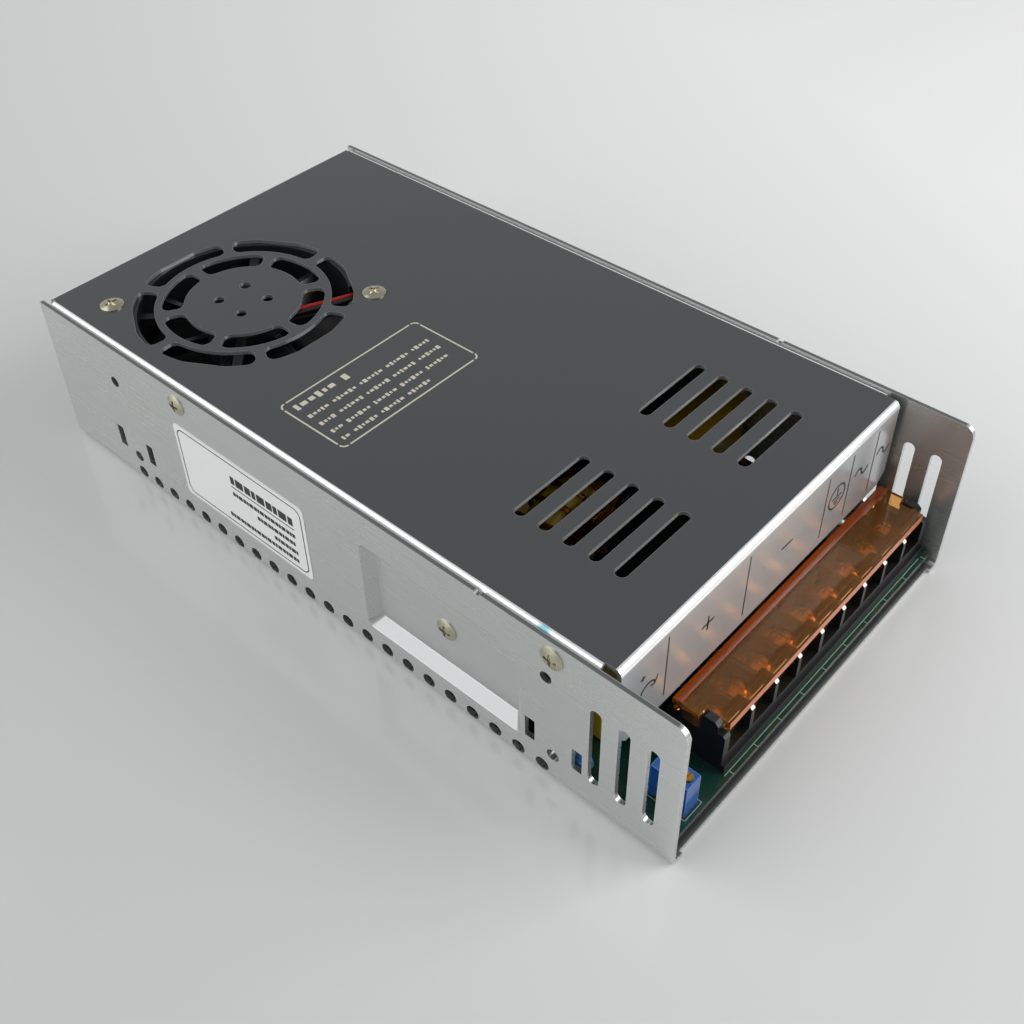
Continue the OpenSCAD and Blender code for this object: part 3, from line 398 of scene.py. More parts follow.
class Finishes(Enum):
    """All finishes of the power supply, named for what wears them.

    Each begins with its material's name, both colours, roughness, spread, metallic, scale and bump.
    """

    # Painted light: up-facing faces (inside floor and wall tops) darkened as painted shade, slopes and bends
    # dimmed as painted shade, edge colour a painted highlight.
    CASE_SHEET = Finish(
        "case_sheet", "CED1CF", "C5C8C6", 0.28, 0.03, 0.8, 700.0, 0.03, grain=True,
        edge="DADCDB", edge_width=0.0004, faces=((Way.UP, "7B7D7C"), (Way.BEND, "ADB0B0")),
    )
    # Painted light: top darkened as painted shade, front flange lightened as a painted reflection of the
    # table, bends whitened as a painted highlight, edge colour a painted highlight.
    COVER_SHEET = Finish(
        "cover_sheet", "8E9193", "85888A", 0.2, 0.04, 0.5, 18.0, 0.02,
        faces=((Way.UP, "58595B"), (Way.AHEAD, "C9CBCC"), (Way.BEND, "F0F1F1")),
        edge="A3A5A7", edge_width=0.0002, stain=((-0.0562, -0.0705, 0.046), 0.0022, "5DB3C6"),
    )
    # Its edge colour is a painted highlight.
    SCREW = Finish(
        "screw_plating", "C8C4B0", "A9A48F", 0.24, 0.08, 1.0, 400.0, 0.1, edge="E8E4D2", edge_width=0.0002,
    )
    STICKER = Finish("sticker_face", "EDEFEF", "E6E8E8", 0.42, 0.05, 0.0, 60.0, 0.03)
    # Its edge colour is a painted highlight.
    FAN_FRAME = Finish("fan_frame_plastic", "131416", "1C1D20", 0.45, 0.1, 0.0, 120.0, 0.15, edge="33353A")
    # Its edge colour is a painted highlight.
    FAN_BLADE = Finish("fan_blade_plastic", "0D0E10", "17181B", 0.3, 0.08, 0.0, 80.0, 0.08, edge="2B2D31")
    COPPER = Finish("enamelled_wire", "B06A33", "7E431D", 0.26, 0.08, 0.75, 220.0, 0.1, coat=0.5)
    LEAD_RED = Finish("red_sleeve", "C1261D", "A51C16", 0.32, 0.06, 0.0, 90.0, 0.04)
    LEAD_BLACK = Finish("black_sleeve", "121213", "1D1D1F", 0.35, 0.06, 0.0, 90.0, 0.04)
    SOCKET = Finish("socket_nylon", "E4DFCC", "D6CFB8", 0.45, 0.08, 0.0, 90.0, 0.05, subsurface=0.05)
    FILM = Finish("slot_film", "1B1D1E", "242628", 0.3, 0.08, 0.0, 40.0, 0.2)
    # Painted shade: the faces that look ahead, the board's front edge, are darkened.
    BOARD = Finish(
        "board_mask", "0E3F31", "0A3026", 0.25, 0.06, 0.0, 160.0, 0.08,
        coat=0.4, faces=((Way.AHEAD, "141C18"),),
    )
    # Its edge colour is a painted highlight.
    PLATED = Finish(
        "plated_fixing", "C9CAC8", "AAACAB", 0.25, 0.08, 1.0, 300.0, 0.08, edge="EDEDEB", edge_width=0.0002,
    )
    # Its edge colour is a painted highlight.
    STRIP = Finish(
        "strip_moulding", "0A0B0D", "121316", 0.36, 0.08, 0.0, 180.0, 0.12, edge="2E3134", edge_width=0.0002,
    )
    # Its edge colour is a painted highlight.
    CONTACT = Finish(
        "tinned_contact", "CFCBBE", "AAA596", 0.24, 0.08, 1.0, 250.0, 0.1, edge="EFEBDD", edge_width=0.0002,
    )
    # Its edge colour is a painted highlight.
    TERMINAL_SCREW = Finish(
        "terminal_screw_plating", "D3CDB6", "A79F83", 0.22, 0.08, 1.0, 350.0, 0.1,
        edge="F2EDDA", edge_width=0.0002,
    )
    AMBER = Finish("amber_plate", "FFBE70", "FBB05C", 0.04, 0.02, 0.0, 50.0, 0.01, transmission=0.93, ior=1.3)
    # Its edge colour is a painted highlight.
    AMBER_LIP = Finish(
        "amber_lip", "D9702F", "C65F22", 0.2, 0.05, 0.0, 60.0, 0.05,
        edge="F39A5A", edge_width=0.0002, coat=0.4, subsurface=0.3,
    )
    AMBER_RIDGE = Finish(
        "amber_ridge", "A9501C", "934112", 0.2, 0.05, 0.0, 60.0, 0.05, coat=0.4, subsurface=0.2,
    )
    # Painted glint on the chamfered front tips of the barriers.
    TIP = Finish("painted_tip_glint", "F1EEDF", "E4DFCB", 0.25, 0.05, 0.2, 300.0, 0.05)
    # Its edge colour is a painted highlight.
    TRIMMER = Finish(
        "trimmer_shell", "1B5CB0", "164C96", 0.24, 0.05, 0.0, 120.0, 0.06,
        edge="6FA3E0", edge_width=0.0003, coat=0.4,
    )
    BRASS = Finish("brass_slot", "C79B3C", "9A7327", 0.25, 0.06, 1.0, 300.0, 0.1)
    SLEEVE_BLACK = Finish(
        "black_can_sleeve", "121317", "1A1C22", 0.25, 0.05, 0.0, 60.0, 0.04,
        coat=0.3, faces=((Way.UP, "AEB1B3"),),
    )
    SLEEVE_GREEN = Finish(
        "green_can_sleeve", "12332A", "0D261F", 0.25, 0.05, 0.0, 60.0, 0.04,
        coat=0.3, faces=((Way.UP, "AEB1B3"),),
    )
    # Its edge colour is a painted highlight.
    BOX_YELLOW = Finish(
        "yellow_box", "C9A727", "B08F1C", 0.32, 0.06, 0.0, 120.0, 0.05, edge="E3C65A", edge_width=0.0003,
    )
    DISC_BLUE = Finish("blue_coating", "3A6C9C", "305C88", 0.3, 0.06, 0.0, 150.0, 0.15, coat=0.3)
    # Its edge colour is a painted highlight.
    FERRITE = Finish("ferrite_body", "29292B", "363638", 0.55, 0.1, 0.1, 300.0, 0.2, edge="55565A")
    TAPE = Finish("winding_tape", "D3B436", "BD9E26", 0.32, 0.06, 0.0, 50.0, 0.08, coat=0.3)
    CORE_YELLOW = Finish("ring_coating", "C6B03A", "A8922A", 0.4, 0.08, 0.0, 200.0, 0.12)
    # Its edge colour is a painted highlight.
    BAR = Finish("extruded_bar", "B9BCBE", "9EA1A4", 0.32, 0.08, 0.9, 500.0, 0.1, grain=True, edge="E6E8E9")
    # Its edge colour is a painted highlight.
    PACKAGE = Finish(
        "package_moulding", "161718", "202224", 0.5, 0.08, 0.0, 400.0, 0.15, edge="3A3C3F", edge_width=0.0002,
    )
    FUSE = Finish("fuse_tube", "6C7472", "5F6765", 0.2, 0.03, 0.0, 50.0, 0.02, transmission=0.6)
    THERMISTOR = Finish("thermistor_coating", "1F3D2A", "16301F", 0.4, 0.08, 0.0, 200.0, 0.15)
    INK_BLACK = Finish("black_print", "1B1C1D", "242627", 0.5, 0.05, 0.0, 300.0, 0.02)
    INK_PALE = Finish("pale_etching", "CFCDBE", "BDBBAD", 0.45, 0.05, 0.1, 300.0, 0.02)
    INK_LEGEND = Finish("legend_print", "9FB8A9", "8EA898", 0.5, 0.05, 0.0, 300.0, 0.02)


NODE_FINISH: dict[str, Finishes] = {
    "chassis": Finishes.CASE_SHEET,
    "cover": Finishes.COVER_SHEET,
    "cover_screws": Finishes.SCREW,
    "fan_screws": Finishes.SCREW,
    "heatsink_screw": Finishes.SCREW,
    "rating_sticker": Finishes.STICKER,
    "fan_frame": Finishes.FAN_FRAME,
    "fan_stator": Finishes.COPPER,
    "fan_rotor": Finishes.FAN_BLADE,
    "fan_lead_red": Finishes.LEAD_RED,
    "fan_lead_black": Finishes.LEAD_BLACK,
    "fan_socket": Finishes.SOCKET,
    "insulating_sheet": Finishes.FILM,
    "circuit_board": Finishes.BOARD,
    "board_standoffs": Finishes.PLATED,
    "board_screws": Finishes.PLATED,
    "terminal_block": Finishes.STRIP,
    "terminal_plates": Finishes.CONTACT,
    "terminal_screws": Finishes.TERMINAL_SCREW,
    "terminal_cover": Finishes.AMBER,
    "trimmer_body": Finishes.TRIMMER,
    "trimmer_screw": Finishes.BRASS,
    "bulk_capacitors": Finishes.SLEEVE_BLACK,
    "output_capacitors": Finishes.SLEEVE_GREEN,
    "film_capacitors": Finishes.BOX_YELLOW,
    "disc_capacitors": Finishes.DISC_BLUE,
    "transformer_core": Finishes.FERRITE,
    "transformer_winding": Finishes.TAPE,
    "driver_transformer": Finishes.TAPE,
    "choke_core": Finishes.CORE_YELLOW,
    "choke_winding": Finishes.COPPER,
    "line_choke_core": Finishes.FERRITE,
    "line_choke_coils": Finishes.COPPER,
    "switch_heatsink": Finishes.BAR,
    "switch_transistors": Finishes.PACKAGE,
    "rectifier_heatsink": Finishes.BAR,
    "rectifiers": Finishes.PACKAGE,
    "rectifier_screws": Finishes.PLATED,
    "fuse": Finishes.FUSE,
    "fuse_clips": Finishes.BRASS,
    "thermistors": Finishes.THERMISTOR,
}


def dress_nodes() -> None:
    """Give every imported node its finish."""
    for name, finish in NODE_FINISH.items():
        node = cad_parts.get(name)
        if node is None:
            LOG.warning("node %s isn't in the frame", name)
            continue
        material = finish.value.build()
        for place in node.material_slots:
            place.material = material
        LOG.info("%s wears %s", name, material.name)


# ---- modelling helpers ----------------------------------------------------------------


def only(obj: Object | None = None) -> None:
    """Select nothing but one object and make it the active one.

    Args:
        obj: Object to select, or None to deselect everything.
    """
    if bpy.context.object is not None and bpy.context.object.mode != "OBJECT":
        bpy.ops.object.mode_set(mode="OBJECT")
    bpy.ops.object.select_all(action="DESELECT")
    if obj is not None:
        obj.select_set(True)
        bpy.context.view_layer.objects.active = obj


def settle(obj: Object, name: str, finish: Finishes, angle: float = 35.0) -> Object:
    """Name a finished piece, bake its place into its mesh and give it its finish.

    Args:
        obj: Finished piece.
        name: Name for the piece.
        finish: Finish that it wears.
        angle: Largest angle in degrees that is shaded smooth.

    Returns:
        The same piece.
    """
    only(obj)
    bpy.ops.object.transform_apply(location=True, rotation=True, scale=True)
    bpy.ops.object.shade_smooth_by_angle(angle=math.radians(angle))
    obj.name = name
    obj.data.name = name
    obj.data.materials.clear()
    obj.data.materials.append(finish.value.build())
    return obj


def join(pieces: Sequence[Object], name: str) -> Object:
    """Join pieces into the first one.

    Args:
        pieces: Pieces to join.
        name: Name of the result.

    Returns:
        The joined piece.
    """
    only(pieces[0])
    for piece in pieces:
        piece.select_set(True)
    if len(pieces) > 1:
        bpy.ops.object.join()
    pieces[0].name = name
    return pieces[0]


class Side(Enum):
    """Way that a print looks, with the turn from a flat drawing to that way."""

    TOP = Matrix.Identity(4)
    FRONT = Matrix.Rotation(math.pi / 2, 4, "X")
    CHAMFER = Matrix.Rotation(math.pi / 4, 4, "X")
    LEFT = Matrix.Rotation(-math.pi / 2, 4, "Z") @ Matrix.Rotation(math.pi / 2, 4, "X")

    @property
    def normal(self) -> Vector:
        """Way that the drawn side looks."""
        return (self.value.to_3x3() @ Vector((0, 0, 1))).normalized()


def bar(u: float, v: float, wide: float, high: float, turn: float = 0.0, round_by: float = 0.0) -> Object:
    """Flat bar of ink in a drawing, a plane pulled to size with softened corners.

    Args:
        u: Middle across, in millimetres.
        v: Middle upwards, in millimetres.
        wide: Width in millimetres.
        high: Height in millimetres.
        turn: Turn in degrees, anticlockwise.
        round_by: Radius of the corners in millimetres.

    Returns:
        The bar, as a plate of the print's thickness.
    """
    only()
    place, spin = (u * MM, v * MM, 0.0), (0, 0, math.radians(turn))
    bpy.ops.mesh.primitive_plane_add(size=1.0, location=place, rotation=spin)
    obj = bpy.context.object
    obj.scale = (wide * MM, high * MM, 1.0)
    bpy.ops.object.transform_apply(location=True, rotation=True, scale=True)
    bpy.ops.object.mode_set(mode="EDIT")
    if round_by > 0:
        bpy.ops.mesh.select_all(action="SELECT")
        bpy.ops.mesh.bevel(offset=round_by * MM, segments=4, affect="VERTICES")
    bpy.ops.mesh.select_all(action="SELECT")
    bpy.ops.mesh.extrude_region_move(TRANSFORM_OT_translate={"value": (0, 0, INK)})
    bpy.ops.object.mode_set(mode="OBJECT")
    return obj


def arc(u: float, v: float, radius: float, width: float, start: float, end: float, steps: int = 16) -> Object:
    """Curved stroke of ink, spun from a short edge.

    Args:
        u: Centre across, in millimetres.
        v: Centre upwards, in millimetres.
        radius: Radius to the middle of the stroke, in millimetres.
        width: Width of the stroke in millimetres.
        start: Angle of its start in degrees.
        end: Angle of its end in degrees.
        steps: Number of segments.

    Returns:
        The stroke, as a plate of the print's thickness.
    """
    only()
    bpy.ops.mesh.primitive_plane_add(size=1.0, location=(0, 0, 0))
    obj = bpy.context.object
    bpy.ops.object.mode_set(mode="EDIT")
    mesh = bmesh.from_edit_mesh(obj.data)
    inner, outer = radius - width / 2, radius + width / 2
    first = math.radians(start)
    spare = sorted(mesh.verts, key=lambda p: (p.co.x, p.co.y))
    for vert, reach in zip(spare[:2], (inner, outer)):
        vert.co = Vector(((u + reach * math.cos(first)) * MM, (v + reach * math.sin(first)) * MM, 0))
    bmesh.ops.delete(mesh, geom=spare[2:], context="VERTS")
    for part in (*mesh.verts, *mesh.edges):
        part.select = True
    bmesh.update_edit_mesh(obj.data)
    middle, sweep = (u * MM, v * MM, 0), math.radians(start - end)
    bpy.ops.mesh.spin(steps=steps, angle=sweep, center=middle, axis=(0, 0, 1), dupli=False)
    bpy.ops.mesh.select_all(action="SELECT")
    bpy.ops.mesh.remove_doubles(threshold=WELD)
    bpy.ops.mesh.normals_make_consistent(inside=False)
    bpy.ops.mesh.extrude_region_move(TRANSFORM_OT_translate={"value": (0, 0, INK)})
    bpy.ops.object.mode_set(mode="OBJECT")
    return obj


def rounded_frame(
    u: tuple[float, float], v: tuple[float, float], radius: float, line: float, short: float = 0.0
) -> list[Object]:
    """Strokes of a frame with round corners.

    Args:
        u: Left and right side in millimetres.
        v: Lower and upper side.
        radius: Radius of the corners.
        line: Width of the line.
        short: How much shorter each straight stroke is than its side, so that gaps stay.

    Returns:
        Four straight and four curved strokes.
    """
    (left, right), (low, high) = u, v
    middle = (left + right) / 2, (low + high) / 2
    strokes = [bar(middle[0], y, right - left - 2 * radius - short, line) for y in v]
    strokes += [bar(x, middle[1], line, high - low - 2 * radius - short) for x in u]
    for x, y, start in (
        (right - radius, high - radius, 0),
        (left + radius, high - radius, 90),
        (left + radius, low + radius, 180),
        (right - radius, low + radius, 270),
    ):
        strokes.append(arc(x, y, radius, line, start, start + 90, CORNER_STEPS))
    return strokes


def lay(
    pieces: Sequence[Object], side: Side, reach: float, name: str, finish: Finishes, body: Body = Body.CASE
) -> Object:
    """Join a flat drawing and lay it on a face.

    Args:
        pieces: Strokes of the drawing, in the XY plane.
        side: Way that the face looks.
        reach: Distance of the face from the origin along its normal, in millimetres.
        name: Name of the print.
        finish: Ink.
        body: Body that it rides on.

    Returns:
        The print, riding on its body.
    """
    drawing = join(pieces, name)
    drawing.matrix_world = Matrix.Translation(side.normal * reach * MM) @ side.value
    settle(drawing, name, finish)
    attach(drawing, body.value)
    LOG.info("%s is laid on its face", name)
    return drawing


def span(node: str) -> tuple[Vector, Vector]:
    """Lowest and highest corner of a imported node.

    Args:
        node: Name of the node.

    Returns:
        Both corners in millimetres.
    """
    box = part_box(node)
    return Vector(box[0]) / MM, Vector(box[1]) / MM


# ---- studio ---------------------------------------------------------------------------


@dataclass(frozen=True)
class Lamp:
    """One soft square lamp.

    Attributes:
        name: Name of the lamp.
        place: Where it hangs, in metres.
        size: Side of its square in metres.
        power: Power in watts.
    """

    name: str
    place: Point
    size: float
    power: float

    def hang(self, target: Point) -> Object:
        """Add the lamp to the scene.

        Args:
            target: Point that it shines at.

        Returns:
            The lamp object.
        """
        data = bpy.data.lights.new(self.name, "AREA")
        data.size = self.size
        data.energy = self.power
        lamp = bpy.data.objects.new(self.name, data)
        bpy.context.collection.objects.link(lamp)
        lamp.location = self.place
        lamp.rotation_mode = "QUATERNION"
        lamp.rotation_quaternion = (Vector(target) - Vector(self.place)).to_track_quat("-Z", "Y")
        return lamp


@dataclass
class Studio:
    """Table, lamps, surround and camera.

    Attributes:
        eye: Place of the camera in metres.
        azimuth: Direction it looks from, in degrees round the case.
        elevation: Height of its view above the horizon in degrees.
        roll: Roll of the camera in degrees.
        lens: Focal length in millimetres on a 36 mm sensor.
        shift: Lens shift across and up.
        table_size: Side of the table in metres.
        table_drop: Distance of the table below the case, so that the two don't flicker.
        near_colour: Colour of the table near the sticker side, as hexadecimal sRGB, greyed by painted shade.
        far_colour: Colour of the table behind the plain side.
        sweep_turn: Direction in which the table brightens out of its painted shade, in degrees clockwise from
            X.
        sweep_scale: Change from the near to the far colour for each metre.
        sweep_start: Share of the far colour below the middle of the case.
        lamps: The two lamps: one behind the sticker side, one before the plain side.
        target: Point that the lamps shine at.
        low_grey: Grey of the surround at the horizon.
        high_grey: Colour of the surround overhead.
        high_from: Height from which the surround keeps its overhead colour.
    """

    eye: Point = (-0.181456, -0.177279, 0.239498)
    azimuth: float = -46.647
    elevation: float = 42.015
    roll: float = -1.777
    lens: float = 44.23
    shift: tuple[float, float] = (0.01735, -0.04677)
    table_size: float = 6.0
    table_drop: float = 0.00005
    near_colour: str = "C6C8C7"
    far_colour: str = "F0F1F0"
    sweep_turn: float = 14.0
    sweep_scale: float = 2.4
    sweep_start: float = 0.4
    lamps: tuple[Lamp, ...] = (
        Lamp("left_lamp", (-0.8, 0.61, 0.65), 1.6, 10.0),
        Lamp("front_lamp", (0.65, -0.8, 0.61), 0.8, 8.5),
    )
    target: Point = (0, 0, 0.02)
    low_grey: float = 0.66
    high_grey: Point = (0.4, 0.4, 0.405)
    high_from: float = 0.75

    def camera(self) -> Object:
        """Set up the camera.

        Returns:
            The camera object.
        """
        data = bpy.data.cameras.new("view_camera")
        data.lens = self.lens
        data.sensor_width = 36.0
        data.sensor_fit = "HORIZONTAL"
        data.shift_x, data.shift_y = self.shift
        data.clip_start, data.clip_end = 0.01, 20.0
        camera = bpy.data.objects.new("view_camera", data)
        bpy.context.collection.objects.link(camera)
        a, e, r = (math.radians(v) for v in (self.azimuth, self.elevation, self.roll))
        back = Vector((math.sin(a) * math.cos(e), -math.cos(a) * math.cos(e), math.sin(e)))
        right = Vector((0, 0, 1)).cross(back).normalized()
        up = back.cross(right)
        across = right * math.cos(r) + up * math.sin(r)
        upward = up * math.cos(r) - right * math.sin(r)
        turn = Matrix((across, upward, back)).transposed().to_4x4()
        camera.matrix_world = Matrix.Translation(Vector(self.eye)) @ turn
        bpy.context.scene.camera = camera
        return camera

    def floor(self) -> Object:
        """Make the pale, faintly glossy table, with painted shade that greys it towards the near side.

        Returns:
            The floor object.
        """
        only()
        bpy.ops.mesh.primitive_plane_add(size=self.table_size, location=(0, 0, -self.table_drop))
        obj = bpy.context.object
        bpy.ops.object.mode_set(mode="EDIT")
        bpy.ops.mesh.subdivide(number_cuts=1)
        bpy.ops.object.mode_set(mode="OBJECT")
        obj.name = "table"
        material = bpy.data.materials.new("table_top")
        material.use_nodes = True
        tree = material.node_tree
        shader = find(tree, "ShaderNodeBsdfPrincipled")
        coords = add(tree, "TexCoord")
        place = add(
            tree,
            "Mapping",
            {
                "Location": (self.sweep_start, 0.0, 0.0),
                "Rotation": (0, 0, math.radians(self.sweep_turn)),
                "Scale": (self.sweep_scale,) * 3,
            },
        )
        # Painted shade: the table greys towards the near colour.
        sweep = add(tree, "TexGradient")
        ramp = add(tree, "MapRange")
        link(coords, "Object", place, "Vector")
        link(place, "Vector", sweep, "Vector")
        link(sweep, "Fac", ramp, "Value")
        colour = mix(tree, self.near_colour, self.far_colour, ramp.outputs["Result"])
        tree.links.new(colour, shader.inputs["Base Color"])
        shader.inputs["Roughness"].default_value = 0.14
        shader.inputs["IOR"].default_value = 1.5
        obj.data.materials.append(material)
        return obj

    def world(self) -> None:
        """Make a pale surround that glossy metal sees a little darker overhead."""
        world = bpy.data.worlds.new("studio_surround")
        bpy.context.scene.world = world
        world.use_nodes = True
        tree = world.node_tree
        shade = find(tree, "ShaderNodeBackground")
        coords = add(tree, "TexCoord")
        split = add(tree, "SeparateXYZ")
        ramp = add(tree, "ValToRGB")
        ramp.color_ramp.elements[0].position = 0.0
        ramp.color_ramp.elements[0].color = (*(self.low_grey,) * 3, 1)
        ramp.color_ramp.elements[1].position = self.high_from
        ramp.color_ramp.elements[1].color = (*self.high_grey, 1)
        link(coords, "Generated", split, "Vector")
        link(split, "Z", ramp, "Fac")
        link(ramp, "Color", shade, "Color")
        shade.inputs["Strength"].default_value = 1.0

    def build(self) -> None:
        """Set up everything that isn't part of the object."""
        self.camera()
        self.floor()
        for lamp in self.lamps:
            lamp.hang(self.target)
        self.world()
        bpy.context.scene.view_settings.view_transform = "Standard"


# ---- prints ---------------------------------------------------------------------------


@dataclass
class CoverNotice:
    """Etched notice panel of the cover: a frame with rows of plain strokes. All sizes are in millimetres.

    Attributes:
        sides: Left and right side of the frame.
        ends: Side nearer the terminals and side nearer the fan.
        line: Width of the frame line.
        corner: Radius of the frame's corners.
        gap: Length by which the straight lines fall short of the corners, both ends together.
        surface: Height of the cover's face.
        inset: Distance of the rows from the left side.
        title_reach: Distance from the left side to the end of the first row.
        stops: Distance of each later row's end from the right side.
        rows: Distance of each row from the far side and the height of its strokes.
        least: Room that a stroke needs at the end of a row.
        round_by: Radius of a stroke's corners.
        widths: Width of a stroke as a share of the row's height: the least, and the step between widths.
        space: Space after a stroke as a share of the row's height.
        word_space: Further space after a group of strokes.
        low: Height of a low stroke as a share of the row's height.
        tall: Height of a tall stroke, which every third one is.
        group: Number of strokes in a group.
    """

    sides: tuple[float, float] = (-44.5, 2.1)
    ends: tuple[float, float] = (0.1, 23.2)
    line: float = 0.45
    corner: float = 1.5
    gap: float = 1.2
    surface: float = 46.5
    inset: float = 2.2
    title_reach: float = 20.0
    stops: tuple[float, ...] = (2.0, 2.0, 2.0, 14.0)
    rows: tuple[tuple[float, float], ...] = ((3.4, 2.6), (8.3, 1.5), (12.4, 1.5), (16.5, 1.5), (20.3, 1.5))
    least: float = 1.6
    round_by: float = 0.12
    widths: tuple[float, float] = (0.42, 0.1)
    space: float = 0.3
    word_space: float = 0.8
    low: float = 0.55
    tall: float = 0.9
    group: int = 6

    def row_strokes(self) -> list[Object]:
        """Make rows of short plain strokes in word-like groups.

        Returns:
            The strokes.
        """
        left, right = self.sides
        limits = (left + self.title_reach, *(right - stop for stop in self.stops))
        strokes = []
        for index, ((drop, high), limit) in enumerate(zip(self.rows, limits)):
            x, y, count = left + self.inset, self.ends[1] - drop, 0
            while x < limit - self.least:
                wide = high * (self.widths[0] + self.widths[1] * ((count * 7 + index * 3) % 4))
                rise = high * (self.low if count % 3 else self.tall)
                strokes.append(bar(x + wide / 2, y, wide, rise, round_by=self.round_by))
                x += wide + high * self.space
                count += 1
                if (count + index) % self.group == 0:
                    x += high * self.word_space
        return strokes

    def build(self) -> None:
        """Etch the panel into the cover."""
        frame_strokes = rounded_frame(self.sides, self.ends, self.corner, self.line, self.gap)
        lay(frame_strokes, Side.TOP, self.surface, "notice_frame", Finishes.INK_PALE)
        lay(self.row_strokes(), Side.TOP, self.surface, "notice_rows", Finishes.INK_PALE)


@dataclass
class PanelLegends:
    """Printed marks above the terminals: dividers and terminal symbols. All sizes are in millimetres.

    Attributes:
        reach: Distance of the panel's face from the middle.
        dividers: Places of the dividing lines across the panel.
        divider_ends: Lower and upper end of the dividers.
        divider: Width of a dividing line.
        stroke: Width of a symbol's stroke.
        sign: Length of the plus and minus strokes.
        plus: Middle of the plus mark.
        minus: Middle of the minus mark.
        waves: Middle of each alternating current mark.
        wave_r: Radius of a wave's half.
        earth: Middle of the protective earth mark.
        earth_r: Radius of its ring.
        earth_line: Width of its strokes.
        earth_bars: Drop and width of its bars, as shares of the radius.
        arrow: Middle of the turn arrow's arc, and its radius.
        arrow_span: Start and end of the arc in degrees.
        arrow_line: Width of the arc.
        barbs: Middle and turn of each barb of the arrow.
        barb: Length and width of a barb.
        tick: Middle of the small cross beside the arrow.
        tick_size: Length and width of its strokes.
    """

    reach: float = 89.4
    dividers: tuple[float, ...] = (-38.5, -9.1, 23.2, 33.9, 45.4)
    divider_ends: tuple[float, float] = (24.3, 43.3)
    divider: float = 0.4
    stroke: float = 0.6
    sign: float = 4.4
    plus: tuple[float, float] = (-23.8, 34.6)
    minus: tuple[float, float] = (7.0, 34.6)
    waves: tuple[tuple[float, float], ...] = ((39.6, 34.6), (49.8, 34.6))
    wave_r: float = 1.4
    earth: tuple[float, float] = (28.6, 34.0)
    earth_r: float = 3.5
    earth_line: float = 0.5
    earth_bars: tuple[tuple[float, float], ...] = ((0.05, 1.2), (0.35, 0.8), (0.62, 0.4))
    arrow: tuple[float, float, float] = (-44.6, 31.6, 2.6)
    arrow_span: tuple[float, float] = (20, 165)
    arrow_line: float = 0.55
    barbs: tuple[tuple[float, float, float], ...] = ((-41.8, 33.4, 65), (-42.9, 32.3, -10))
    barb: tuple[float, float] = (1.8, 0.5)
    tick: tuple[float, float] = (-46.8, 37.6)
    tick_size: tuple[float, float] = (1.6, 0.45)

    @staticmethod
    def cross(u: float, v: float, length: float, width: float) -> list[Object]:
        """Strokes of a plus mark."""
        return [bar(u, v, length, width), bar(u, v, width, length)]

    def wave_mark(self, u: float, v: float) -> list[Object]:
        """Strokes of the alternating current mark."""
        r = self.wave_r
        return [arc(u - r, v, r, self.stroke, 0, 180, 12), arc(u + r, v, r, self.stroke, 180, 360, 12)]

    def earth_mark(self, u: float, v: float) -> list[Object]:
        """Strokes of the protective earth mark. The ring stops just short of a full turn."""
        r, line = self.earth_r, self.earth_line
        strokes = [arc(u, v, r, line, 0, 359.9, 40), bar(u, v + r * 0.35, line, r * 0.8)]
        return strokes + [bar(u, v - r * drop, r * wide, line) for drop, wide in self.earth_bars]

    def build(self) -> None:
        """Print all marks on the panel."""
        low, high = self.divider_ends
        strokes = [bar(x, (low + high) / 2, self.divider, high - low) for x in self.dividers]
        strokes += self.cross(*self.plus, self.sign, self.stroke)
        strokes += [bar(*self.minus, self.sign, self.stroke)]
        strokes += self.earth_mark(*self.earth)
        for place in self.waves:
            strokes += self.wave_mark(*place)
        strokes += [arc(*self.arrow, self.arrow_line, *self.arrow_span)]
        strokes += [bar(u, v, *self.barb, turn) for u, v, turn in self.barbs]
        strokes += self.cross(*self.tick, *self.tick_size)
        lay(strokes, Side.FRONT, self.reach, "panel_marks", Finishes.INK_BLACK)


@dataclass
class StickerPrint:
    """Plain print of the side sticker: a thin border and rows of bars, with no words. Sizes in millimetres.

    Attributes:
        reach: Distance of the sticker's face from the middle.
        near: Side nearer the terminals, along Y.
        far: Side nearer the fan.
        low: Lower side.
        high: Upper side.
        border: Distance of the border line from the sticker's edge.
        corner: Radius of the border's corners.
        line: Width of the border line and of the underline.
        margin: Distance of the rows' common end from the border.
        underline: Height of the line below the first row.
        rows: Height above the table, width and stroke height of each row.
        round_by: Radius of a bar's corners.
        widths: Pitch of the bars as a share of their height: the least, and the step between pitches.
        fill: Share of its pitch that a bar fills.
    """

    reach: float = 57.65
    near: float = 2.3
    far: float = 52.3
    low: float = 10.15
    high: float = 34.45
    border: float = 1.3
    corner: float = 2.3
    line: float = 0.3
    margin: float = 3.2
    underline: float = 25.0
    rows: tuple[tuple[float, float, float], ...] = (
        (27.4, 24.0, 2.6),
        (22.6, 24.0, 1.3),
        (19.7, 15.0, 1.3),
        (16.8, 9.0, 1.3),
        (13.9, 27.0, 1.3),
    )
    round_by: float = 0.15
    widths: tuple[float, float] = (0.7, 0.35)
    fill: float = 0.82

    def build(self) -> None:
        """Print the border and the bars. Drawn as seen from outside, so +u runs towards -Y."""
        sides = (-self.far + self.border, -self.near - self.border)
        ends = (self.low + self.border, self.high - self.border)
        border = rounded_frame(sides, ends, self.corner, self.line)
        lay(border, Side.LEFT, self.reach, "sticker_border", Finishes.INK_BLACK)
        bars = []
        end = sides[1] - self.margin
        for y, wide, tall in self.rows:
            x, count = end - wide, 0
            while x < end - tall * 0.5:
                step = min(tall * (self.widths[0] + self.widths[1] * ((count * 5 + int(y)) % 3)), end - x)
                bars.append(bar(x + step / 2, y, step * self.fill, tall, round_by=self.round_by))
                x += step
                count += 1
        title = self.rows[0][1]
        bars.append(bar(end - title / 2, self.underline, title, self.line))
        lay(bars, Side.LEFT, self.reach, "sticker_rows", Finishes.INK_BLACK)


